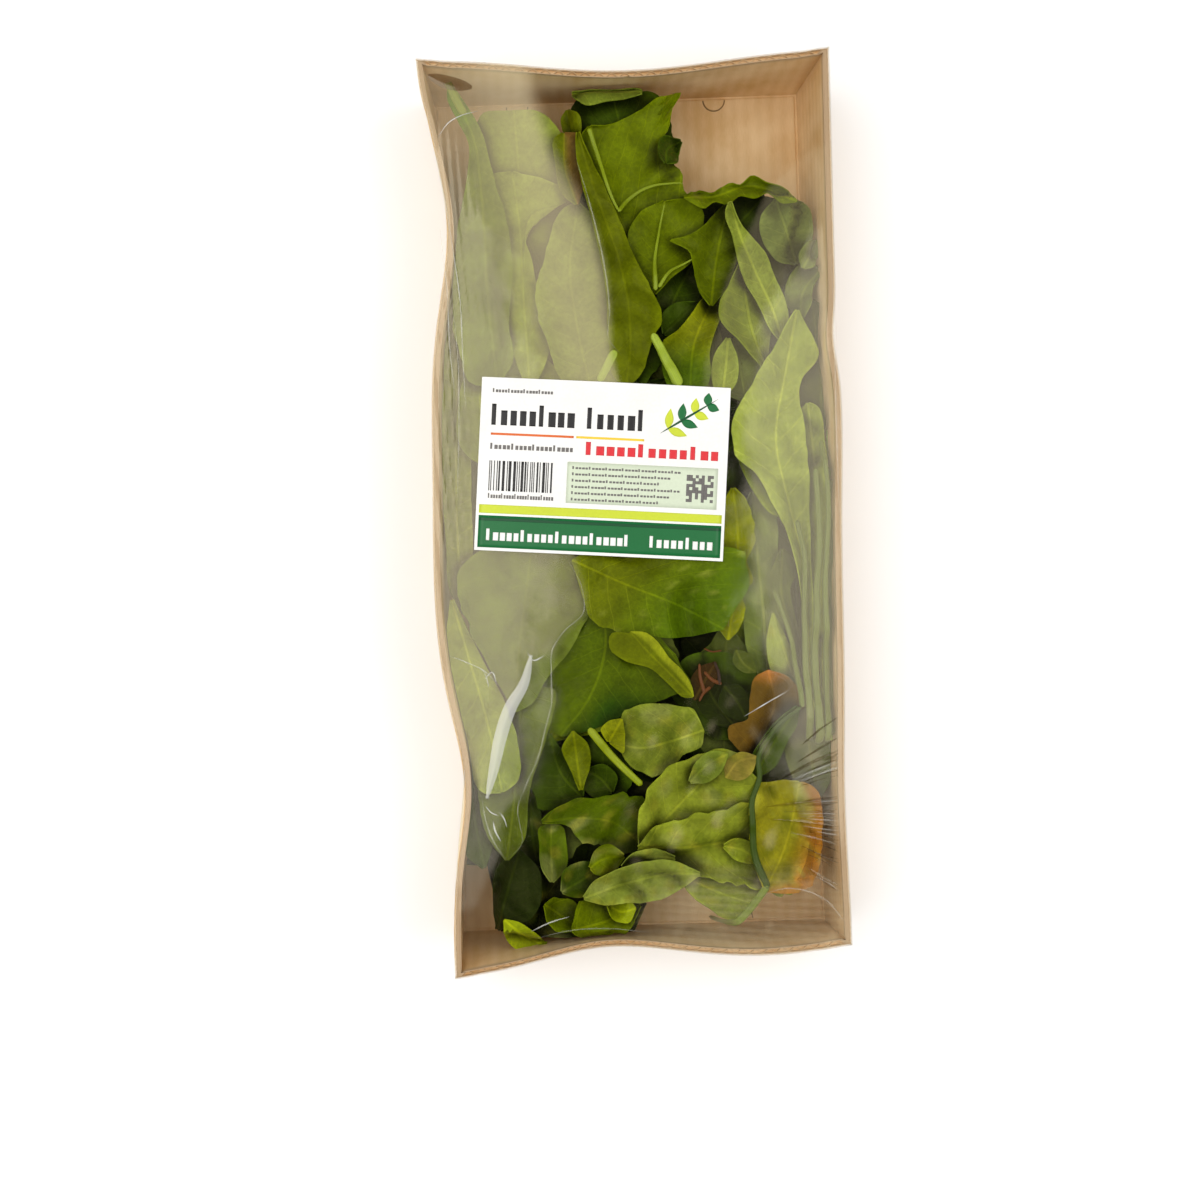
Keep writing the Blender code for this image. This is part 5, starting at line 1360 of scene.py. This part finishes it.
def shade_leaf(name, colour, share, across, run, draw):
    """Colour of each point of a blade: its tint, uneven along it, with the leaf's own marks, and painted
    shade and painted glare on some leaves.
    """
    reach = run / run.max()
    tint = np.array(colour) * np.ones((*across.shape, 4))
    tone = 1 + 0.12 * ripples(run, across, 38, draw.integers(1 << 30)) + draw.uniform(-0.08, 0.08)
    tone = tone + 0.25 * smooth_step(np.abs(share), 0.9, 1.0)
    tint[..., :3] *= tone[..., None]
    # Marks: the darker far half of green_large, the darker stem end of yellow and the dark patches of
    # hole_dark are painted shade, hole_dark's partly also rot; the browns of brown, low_yellow and olive_tip
    # are the leaves' own.
    marks = {
        "green_large": (linear("234604"), smooth_step(reach, 0.5, 0.75) * smooth_step(across, -2, 10)),
        "brown": (linear("b8742e"), smooth_step(reach, 0.8, 1.0)),
        "low_yellow": (linear("b87a24"), smooth_step(-share * np.ones_like(run), 0.0, 0.8)),
        "olive_tip": (linear("8d6a30"), smooth_step(-share * np.ones_like(run), -0.2, 0.5)),
        "below_label": (linear("5d7a06"), smooth_step(reach, 0.25, 0.8)),
        "yellow": (linear("55700a"), smooth_step(-reach, -0.65, -0.2)),
        "corner_long": (linear("6d9a10"), smooth_step(-reach, -0.2, -0.05)),
        "folded": (linear("a2aa1c"), smooth_step(-share * np.ones_like(run), 0.3, 0.6)),
        "hole_dark": (linear("151d06"), smooth_step(ripples(run, across, 14, 5), 0, 0.5)),
    }
    if name in marks:
        mark, amount = marks[name]
        tint += (np.array(mark) - tint) * amount[..., None]
    dots = ripples(run, across, 6, draw.integers(1 << 30), 9)
    if name in DOTTED:
        tint += (np.array(linear("b9c04a")) - tint) * (0.45 * smooth_step(dots, 0.45, 0.9))[..., None]
    low = name.startswith("low_")
    # Blotches on the near leaves: the pale ones are painted glare, the dark and amber ones mottling.
    if low and name != "low_corner" or name == "veined":
        for pale, size, reach_to in (("b4b868", 15, 0.45), ("4c5c06", 11, 0.5), ("a8a02c", 8, 0.35)):
            patch = smooth_step(ripples(run, across, size, draw.integers(1 << 30), 9), 0.15, 0.55)
            tint += (np.array(linear(pale)) - tint) * (reach_to * patch)[..., None]
    tint[..., 3] = VEIN_STRENGTH.get(name, LOW_VEINS if low else VEINS) * (1 - 0.35 * reach)
    return np.clip(tint, 0, 1)


def make_bed(look, ground):
    """The mass of leaves out of sight: a lumpy slab that fills the tray up to the leaves that show, tinted
    dark as painted shade.
    """
    across, along = 70, 150
    u = np.linspace(-1, 1, across + 1)[:, None]
    v = np.linspace(0, 1, along + 1)[None, :]
    leftness = np.tanh(-u * 5)
    far_end = BED_FAR_END[0] + BED_FAR_END[1] * leftness
    near_end = BED_NEAR_END[0] + BED_NEAR_END[1] * leftness
    y = near_end + (far_end - near_end) * v
    x = u * BED_HALF_WIDTH * (1 - 0.1 * np.abs(2 * v - 1) ** 6)
    flat = keep_inside(np.stack([x, y], axis=-1))
    x, y = flat[..., 0], flat[..., 1]
    edge = np.maximum(np.abs(u) ** 10, np.abs(2 * v - 1) ** 16)
    lumps = 1.2 * ripples(x, y, 26, 3) + 0.5 * ripples(x, y, 9, 4)
    top = BED_TOP + lumps - 12 * edge
    upper = np.concatenate([flat, top[..., None]], axis=-1)
    lower = np.concatenate([flat * 0.985, np.full((*top.shape, 1), FLOOR_TOP + 0.4)], axis=-1)
    points, faces = closed_sheet(upper, lower)
    dense = refine(upper, 4)
    i, j = cell_of(dense[..., 0], dense[..., 1])
    np.maximum.at(ground, (i.ravel(), j.ravel()), dense[..., 2].ravel())
    # Its dark tint is painted shade inside the heap.
    tint = np.array(TINTS["dark"]) * np.ones((len(points), 1)) * (1, 1, 1, 0.3)
    place = np.column_stack([np.full(len(points), 9.0), points[:, 1], np.full(len(points), 0.5)])
    fields = {"tint": tint, "place": place}
    add_piece("leaf_bed", points, faces, look, "spinach", "spinach_leaf", fields=fields)


def under_leaves(draw):
    """Leaves under those that show, strewn over the bed: mostly lengthwise, of ordinary outline."""
    rows = []
    for x in np.linspace(468, 806, 9):
        for y in np.linspace(190, 835, 15):
            centre = np.array([x, y]) + draw.uniform(-16, 16, 2)
            heading = math.radians(draw.choice([90, -90]) + draw.normal(0, 24))
            length, width = draw.uniform(110, 190), draw.uniform(28, 44)
            ahead = np.array([math.cos(heading), math.sin(heading)])
            aside = np.array([-ahead[1], ahead[0]])
            bend = draw.uniform(-12, 12)
            spots = ((-0.5, 0.0), (-0.2, 0.9), (0.0, 1.0), (0.25, 0.8), (0.5, 0.0))
            middle = [centre + s * length * ahead + bend * (1 - 4 * s * s) * aside for s, _ in spots]
            edges = [
                [point + sign * width * part * aside for point, (_, part) in zip(middle, spots) if part > 0]
                for sign in (1, -1)
            ]
            # Mostly dark tints: partly painted shade of leaves low in the heap.
            tint = draw.choice(["deep", "deep", "shade", "green", "dark"])
            x_all, y_all = np.array(middle + edges[0] + edges[1]).T
            bare = (x_all > 665) & (y_all < 205) | (y_all < 122) | (y_all > 893)
            if not (bare | (x_all < 456) | (x_all > 832)).any():
                rows.append(("under", tint, draw.uniform(-1, 2), middle, *edges))
    order = draw.permutation(len(rows))
    return [rows[n] for n in order]


def make_leaves(look, ground):
    """All blades, bottom to top, in a few pieces; each is a closed thin sheet of its own."""
    draw = np.random.default_rng(11)
    blades = []
    for name, tint, curl, midrib, left, right in (*under_leaves(draw), *LEAVES):
        plan = leaf_plan(midrib, (left, right), draw, RAGGED.get(name, EDGE_RAGGED))
        blades.append((name, tint, curl, *plan))
    shown = len(blades) - len(LEAVES)
    above = sum(blade_cover(blade[3]) for blade in blades)
    laid = []
    for number, (name, tint, curl, flat, share, across, run) in enumerate(blades):
        above -= blade_cover(flat)
        spacing = float(np.clip(run.max() / 8, 5, 11))
        relief, vein = leaf_relief(share, across, run, curl, draw, spacing)
        rank = (number - shown) / len(LEAVES)
        rest = 0.0 if rank < 0 else REST_LOW + (REST_HIGH - REST_LOW) * rank
        upper = lay_leaf(ground, blur(above, 1), flat, relief, rest)
        colour = shade_leaf(name, TINTS[tint], share, across, run, draw)
        laid.append((upper, colour, np.stack([across, run, vein], axis=-1)))
    # Light is scarce below the canopy and in the narrow gap along the outline of a blade above.
    canopy = blur(grow(ground, 2), 2)
    above = np.zeros_like(ground)
    groups = {"leaves_under": [], "leaves_lower": [], "leaves_upper": []}
    for number in range(len(laid) - 1, -1, -1):
        upper, colour, place = laid[number]
        x, y, z = np.moveaxis(upper, -1, 0)
        near = read_field(blur(grow(np.minimum(above, 1), 1), 1), x, y)
        buried = smooth_step(read_field(canopy, x, y) - z, 2.2, 9.0)
        colour[..., :3] *= ((1 - CONTACT_SHADE * near) * (1 - HOLLOW_SHADE * buried))[..., None]
        above += blade_cover(upper[..., :2])
        points, faces = leaf_solid(upper)
        group = "leaves_lower" if number < shown + LOWER_LEAVES else "leaves_upper"
        group = "leaves_under" if number < shown else group
        fields = [np.tile(field.reshape(-1, field.shape[-1]), (2, 1)) for field in (colour, place)]
        groups[group].append((points, faces, *fields))
    for group, parts in groups.items():
        add_leaves(group, parts, look, 55.0)


def add_leaves(name, parts, look, sharp):
    """Joins solids, each with its tint and place fields, in one piece that stands for the heap."""
    points, faces, tint, place = joined(parts)
    fields = {"tint": tint, "place": place}
    add_piece(name, points, faces, look, "spinach", "spinach_leaf", sharp, fields)


def make_stalks(look, ground):
    """Stalks and raised veins: tubes of an oval section along smooth lines, with rounded ends."""
    parts = []
    for _, tint, (start, end), points in STALKS:
        line = to_pack(points, LEAF_DEPTH)
        length = np.linalg.norm(np.diff(line, axis=0), axis=1).sum()
        count = int(length / 0.9) + 8
        line = keep_inside(smooth_curve(line, count))
        ahead = np.gradient(line, axis=0)
        ahead /= np.linalg.norm(ahead, axis=1)[:, None]
        aside = np.column_stack([-ahead[:, 1], ahead[:, 0]])
        share = np.linspace(0, 1, count)
        run = share * length
        radius = start + (end - start) * share
        cap = np.minimum(run, length - run)
        radius = radius * np.sqrt(np.clip(1 - (1 - np.clip(cap / radius, 0, 1)) ** 2, 0.12, 1))
        rest = read_field(envelope(ground), line[:, 0], line[:, 1])
        height = np.minimum(rest + 0.9 * radius, film_height(line[:, 0], line[:, 1]) - 0.35 - 0.8 * radius)
        angles = np.linspace(0, 2 * math.pi, 16, endpoint=False)
        spread = radius[:, None] * np.cos(angles)
        groove = 1 - 0.25 * smooth_bump(angles, math.pi / 2, 0.35)
        rise = 0.8 * radius[:, None] * np.sin(angles) * groove
        flat = line[:, None] + spread[..., None] * aside[:, None]
        rings = np.concatenate([flat, (height[:, None] + rise)[..., None]], axis=-1)[::-1]
        shape = rings.reshape(-1, 3)
        place = np.stack(np.broadcast_arrays(3 * angles[None, :], run[::-1, None], 0.5), axis=-1)
        colour = np.array(TINTS[tint]) * np.ones((len(shape), 1))
        parts.append((shape, capped_rings(count, len(angles)), colour, place.reshape(-1, 3)))
    add_leaves("leaf_stalks", parts, look, 70.0)


# Label.


def on_label(u, v, lift):
    """Points on the label in the pack's millimetres; the sheet follows the film."""
    turn = math.radians(LABEL_TURN)
    x = LABEL_CENTRE[0] + u * math.cos(turn) - v * math.sin(turn)
    y = LABEL_CENTRE[1] + u * math.sin(turn) + v * math.cos(turn)
    edge = smooth_step(np.abs(u), 0.47 * LABEL_SIZE[0], 0.5 * LABEL_SIZE[0])
    curl = 0.12 * edge * (1 + np.sin(v / 9))
    return np.stack([x, y, film_height(x, y) + LABEL_LIFT + curl + lift], axis=-1)


def printed(corner_grid, layer):
    """A printed field: a thin sheet over a grid [i, j] of label millimetres."""
    u, v = corner_grid[..., 0], corner_grid[..., 1]
    upper = on_label(u, v, PAPER + layer * INK_STEP)
    shape, faces = closed_sheet(upper, upper - (0, 0, 0.6 * INK_STEP))
    along, across = np.gradient(upper, axis=0), np.gradient(upper, axis=1)
    if np.cross(along, across)[..., 2].mean() < 0:
        faces = faces[:, ::-1]
    return shape, faces


def bar(left, right, low, top, layer):
    """A printed rectangle, given by its sides in label millimetres."""
    steps = 4 + int((right - left) / 2.4)
    u, v = np.meshgrid(np.linspace(left, right, steps), np.linspace(low, top, 9), indexing="ij")
    return printed(np.stack([u, v], axis=-1), layer)


def lens(base, tip, width, layer):
    """A printed leaf: its half width swells as a sine between base and tip."""
    base, tip = np.array(base, float), np.array(tip, float)
    aside = np.array([-(tip - base)[1], (tip - base)[0]]) / np.linalg.norm(tip - base)
    share = np.linspace(0.01, 0.99, 18)[:, None]
    swell = width * np.sin(math.pi * share**0.85)
    first = base + share * (tip - base) + swell * aside
    second = base + share * (tip - base) - swell * aside
    across = np.linspace(0, 1, 5)[:, None, None]
    return printed((1 - across) * first + across * second, layer)


def blocks(left, right, low, top, width, layer, draw):
    """A row of small plain blocks: low ones, and a taller and narrower one at every fifth place."""
    parts = []
    count = int((right - left) / width)
    for number, x in enumerate(np.linspace(left, right - 0.8 * width, count)):
        tall = number % 5 == 0
        end = top if tall else top - 0.3 * (top - low)
        parts.append(bar(x, x + (0.5 if tall else draw.uniform(0.7, 0.85)) * width, low, end, layer))
    return parts


def make_label(paper):
    """Paper sheet with a plain print of its own layout: bands, a twig, rows of blocks, bars, a mosaic."""
    draw = np.random.default_rng(5)
    half = np.array(LABEL_SIZE) / 2
    u, v = np.meshgrid(np.linspace(-half[0], half[0], 100), np.linspace(-half[1], half[1], 70), indexing="ij")
    upper = on_label(u, v, PAPER)
    points, faces = closed_sheet(upper, upper - (0, 0, PAPER))
    add_piece("label_sheet", points, faces, paper, "label", "label_paper", 40.0)
    colours = {
        "green": "0d6b34", "dark_green": "0a4f2a", "lime": "c3cf2c", "pale": "ccd6bd", "white": "eceae6",
        "black": "2b2a2a", "grey": "6b6764", "red": "d8262f", "orange": "d8641e", "sun": "e9c52a",
    }
    inks = {name: [] for name in colours}
    side = half[0] - PRINT_MARGIN
    inks["green"].append(bar(-side, side, PRINT_MARGIN - half[1], -20.5, 1))
    inks["dark_green"].append(bar(-side, side, -22.6, -21.4, 2))
    inks["lime"].append(bar(-side, side, -19.6, -16.2, 1))
    inks["white"] += blocks(-45, 12, -30.4, -25.8, 2.6, 2, draw)
    inks["white"] += blocks(20, 45, -30.4, -25.8, 2.6, 2, draw)
    x = -45.0
    while x < -20:
        size = draw.choice([0.36, 0.36, 0.68, 1.04])
        inks["black"].append(bar(x, x + size, -10.6, 1.4, 1))
        x += size + draw.choice([0.36, 0.48, 0.8])
    inks["grey"] += blocks(-45, -19, -13.6, -11.6, 1.04, 1, draw)
    inks["pale"].append(bar(-14, 46, -14.2, 2.2, 1))
    for row in range(6):
        inks["grey"] += blocks(-12, 31 - 4 * (row % 3), -2.5 * row - 0.6, 0.5 - 2.5 * row, 1.3, 2, draw)
    for row in range(9):
        for column in range(9):
            if draw.random() < 0.6:
                left, low = 33.6 + 1.2 * column, -11.6 + 1.2 * row
                inks["grey"].append(bar(left, left + 1.2, low, low + 1.2, 2))
    inks["grey"] += blocks(-45, -21, 28.6, 30.2, 1.2, 1, draw)
    inks["black"] += blocks(-45, -12, 15.6, 24.0, 3.5, 1, draw)
    inks["black"] += blocks(-7, 16, 15.6, 24.0, 3.5, 1, draw)
    inks["orange"].append(bar(-45, -12, 11.6, 12.5, 1))
    inks["sun"].append(bar(-11, 16, 11.6, 12.5, 1))
    inks["grey"] += blocks(-45, -12, 6.0, 8.4, 1.6, 1, draw)
    inks["red"] += blocks(-7, 46, 5.2, 10.4, 3.9, 1, draw)
    base, tip = np.array([22.0, 15.0]), np.array([45.0, 30.0])
    ahead = (tip - base) / np.linalg.norm(tip - base)
    aside = np.array([-ahead[1], ahead[0]])
    inks["dark_green"].append(lens(base, tip, 0.45, 2))
    for number, share in enumerate((0.14, 0.36, 0.58, 0.8)):
        start = base + share * (tip - base)
        for turn in (1, -1):
            leaf_tip = start + (8.2 - number) * (0.62 * ahead + 0.78 * turn * aside)
            inks["green" if number % 2 else "lime"].append(lens(start, leaf_tip, 1.7, 1))
    for name, parts in inks.items():
        ink = coated_paper(f"ink_{name}", colours[name], INK_ROUGHNESS)
        add_piece(f"label_print_{name}", *joined(parts), ink, "label", "label_paper")


# Studio.

FILM_LEVEL = 48.0
LAMP_HEIGHT = 1254.0
# Round lamps that face down: name, place over the floor, radius and radiance.
LAMPS = (
    ("left_lamp", (-1120.0, 60.0), 1000.0, 1.75),
    ("right_lamp", (1200.0, 60.0), 850.0, 1.7),
)
LAMP_COLOUR = (1.0, 0.98, 0.95)
ROOM_LIGHT = 0.75
FLOOR_REACH = 6000.0
SENSOR = 36.0


def make_studio():
    """Pale floor, two large round soft lamps overhead and an even dim room."""
    mesh = bpy.data.meshes.new("floor")
    corners = np.array([(-1, -1, 0), (1, -1, 0), (1, 1, 0), (-1, 1, 0)]) * FLOOR_REACH * MM
    mesh.from_pydata(corners.tolist(), [], [(0, 1, 2, 3)])
    made, _, shader, _ = new_material("studio_floor")
    shader.inputs["Base Color"].default_value = linear("f6f6f6")
    shader.inputs["Roughness"].default_value = 0.9
    mesh.materials.append(made)
    floor = bpy.data.objects.new("floor", mesh)
    bpy.context.scene.collection.objects.link(floor)
    for name, (x, y), radius, radiance in LAMPS:
        lamp = bpy.data.lights.new(name, "AREA")
        lamp.shape = "DISK"
        lamp.size = 2 * radius * MM
        lamp.energy = radiance * math.pi * math.pi * (radius * MM) ** 2
        lamp.color = LAMP_COLOUR
        made = bpy.data.objects.new(name, lamp)
        made.location = (x * MM, y * MM, (FILM_LEVEL + LAMP_HEIGHT) * MM)
        made.visible_camera = False
        bpy.context.scene.collection.objects.link(made)
    world = bpy.data.worlds.new("room")
    world.use_nodes = True
    room = world.node_tree.nodes["Background"]
    room.inputs["Color"].default_value = (1.0, 1.0, 1.0, 1.0)
    room.inputs["Strength"].default_value = ROOM_LIGHT
    world.cycles_visibility.glossy = False
    bpy.context.scene.world = world
    bpy.context.scene.view_settings.view_transform = "Standard"


def make_camera():
    """Straight above the pack, over CAMERA_FOOT on the plan, with the plan's frame."""
    data = bpy.data.cameras.new("camera")
    data.sensor_width = SENSOR
    half_view = PLAN_SIZE * PLAN_STEP / 2
    data.lens = data.sensor_width / 2 * CAMERA_HEIGHT / half_view
    data.shift_x = (PLAN_SIZE / 2 - CAMERA_FOOT[0]) / PLAN_SIZE
    data.shift_y = (CAMERA_FOOT[1] - PLAN_SIZE / 2) / PLAN_SIZE
    camera = bpy.data.objects.new("camera", data)
    x, y = to_pack(CAMERA_FOOT)
    camera.location = (x * MM, y * MM, (RIM_TOP + CAMERA_HEIGHT) * MM)
    camera.rotation_euler = (0, 0, math.radians(-PLAN_TURN))
    bpy.context.scene.collection.objects.link(camera)
    bpy.context.scene.camera = camera


def main():
    kraft = kraft_board()
    make_tray(kraft)
    make_flutes(kraft)
    make_tongues(kraft)
    # The dark brown of the tongues' cuts is painted shadow.
    make_cuts(coated_paper("painted_slit_shadow", "7a5f40", 0.9))
    leaf = fresh_leaf()
    ground = np.full((2 * HALF_FIELD[0] + 1, 2 * HALF_FIELD[1] + 1), FLOOR_TOP)
    make_bed(leaf, ground)
    make_leaves(leaf, ground)
    make_stalks(fresh_stalk(), ground)
    make_film(stretch_film("stretch_film", "f2e2ba"))
    make_folds(stretch_film("stretch_film_fold", "f2f2ec"))
    make_label(coated_paper("label_paper", "e9e8e4"))
    make_studio()
    make_camera()


main()
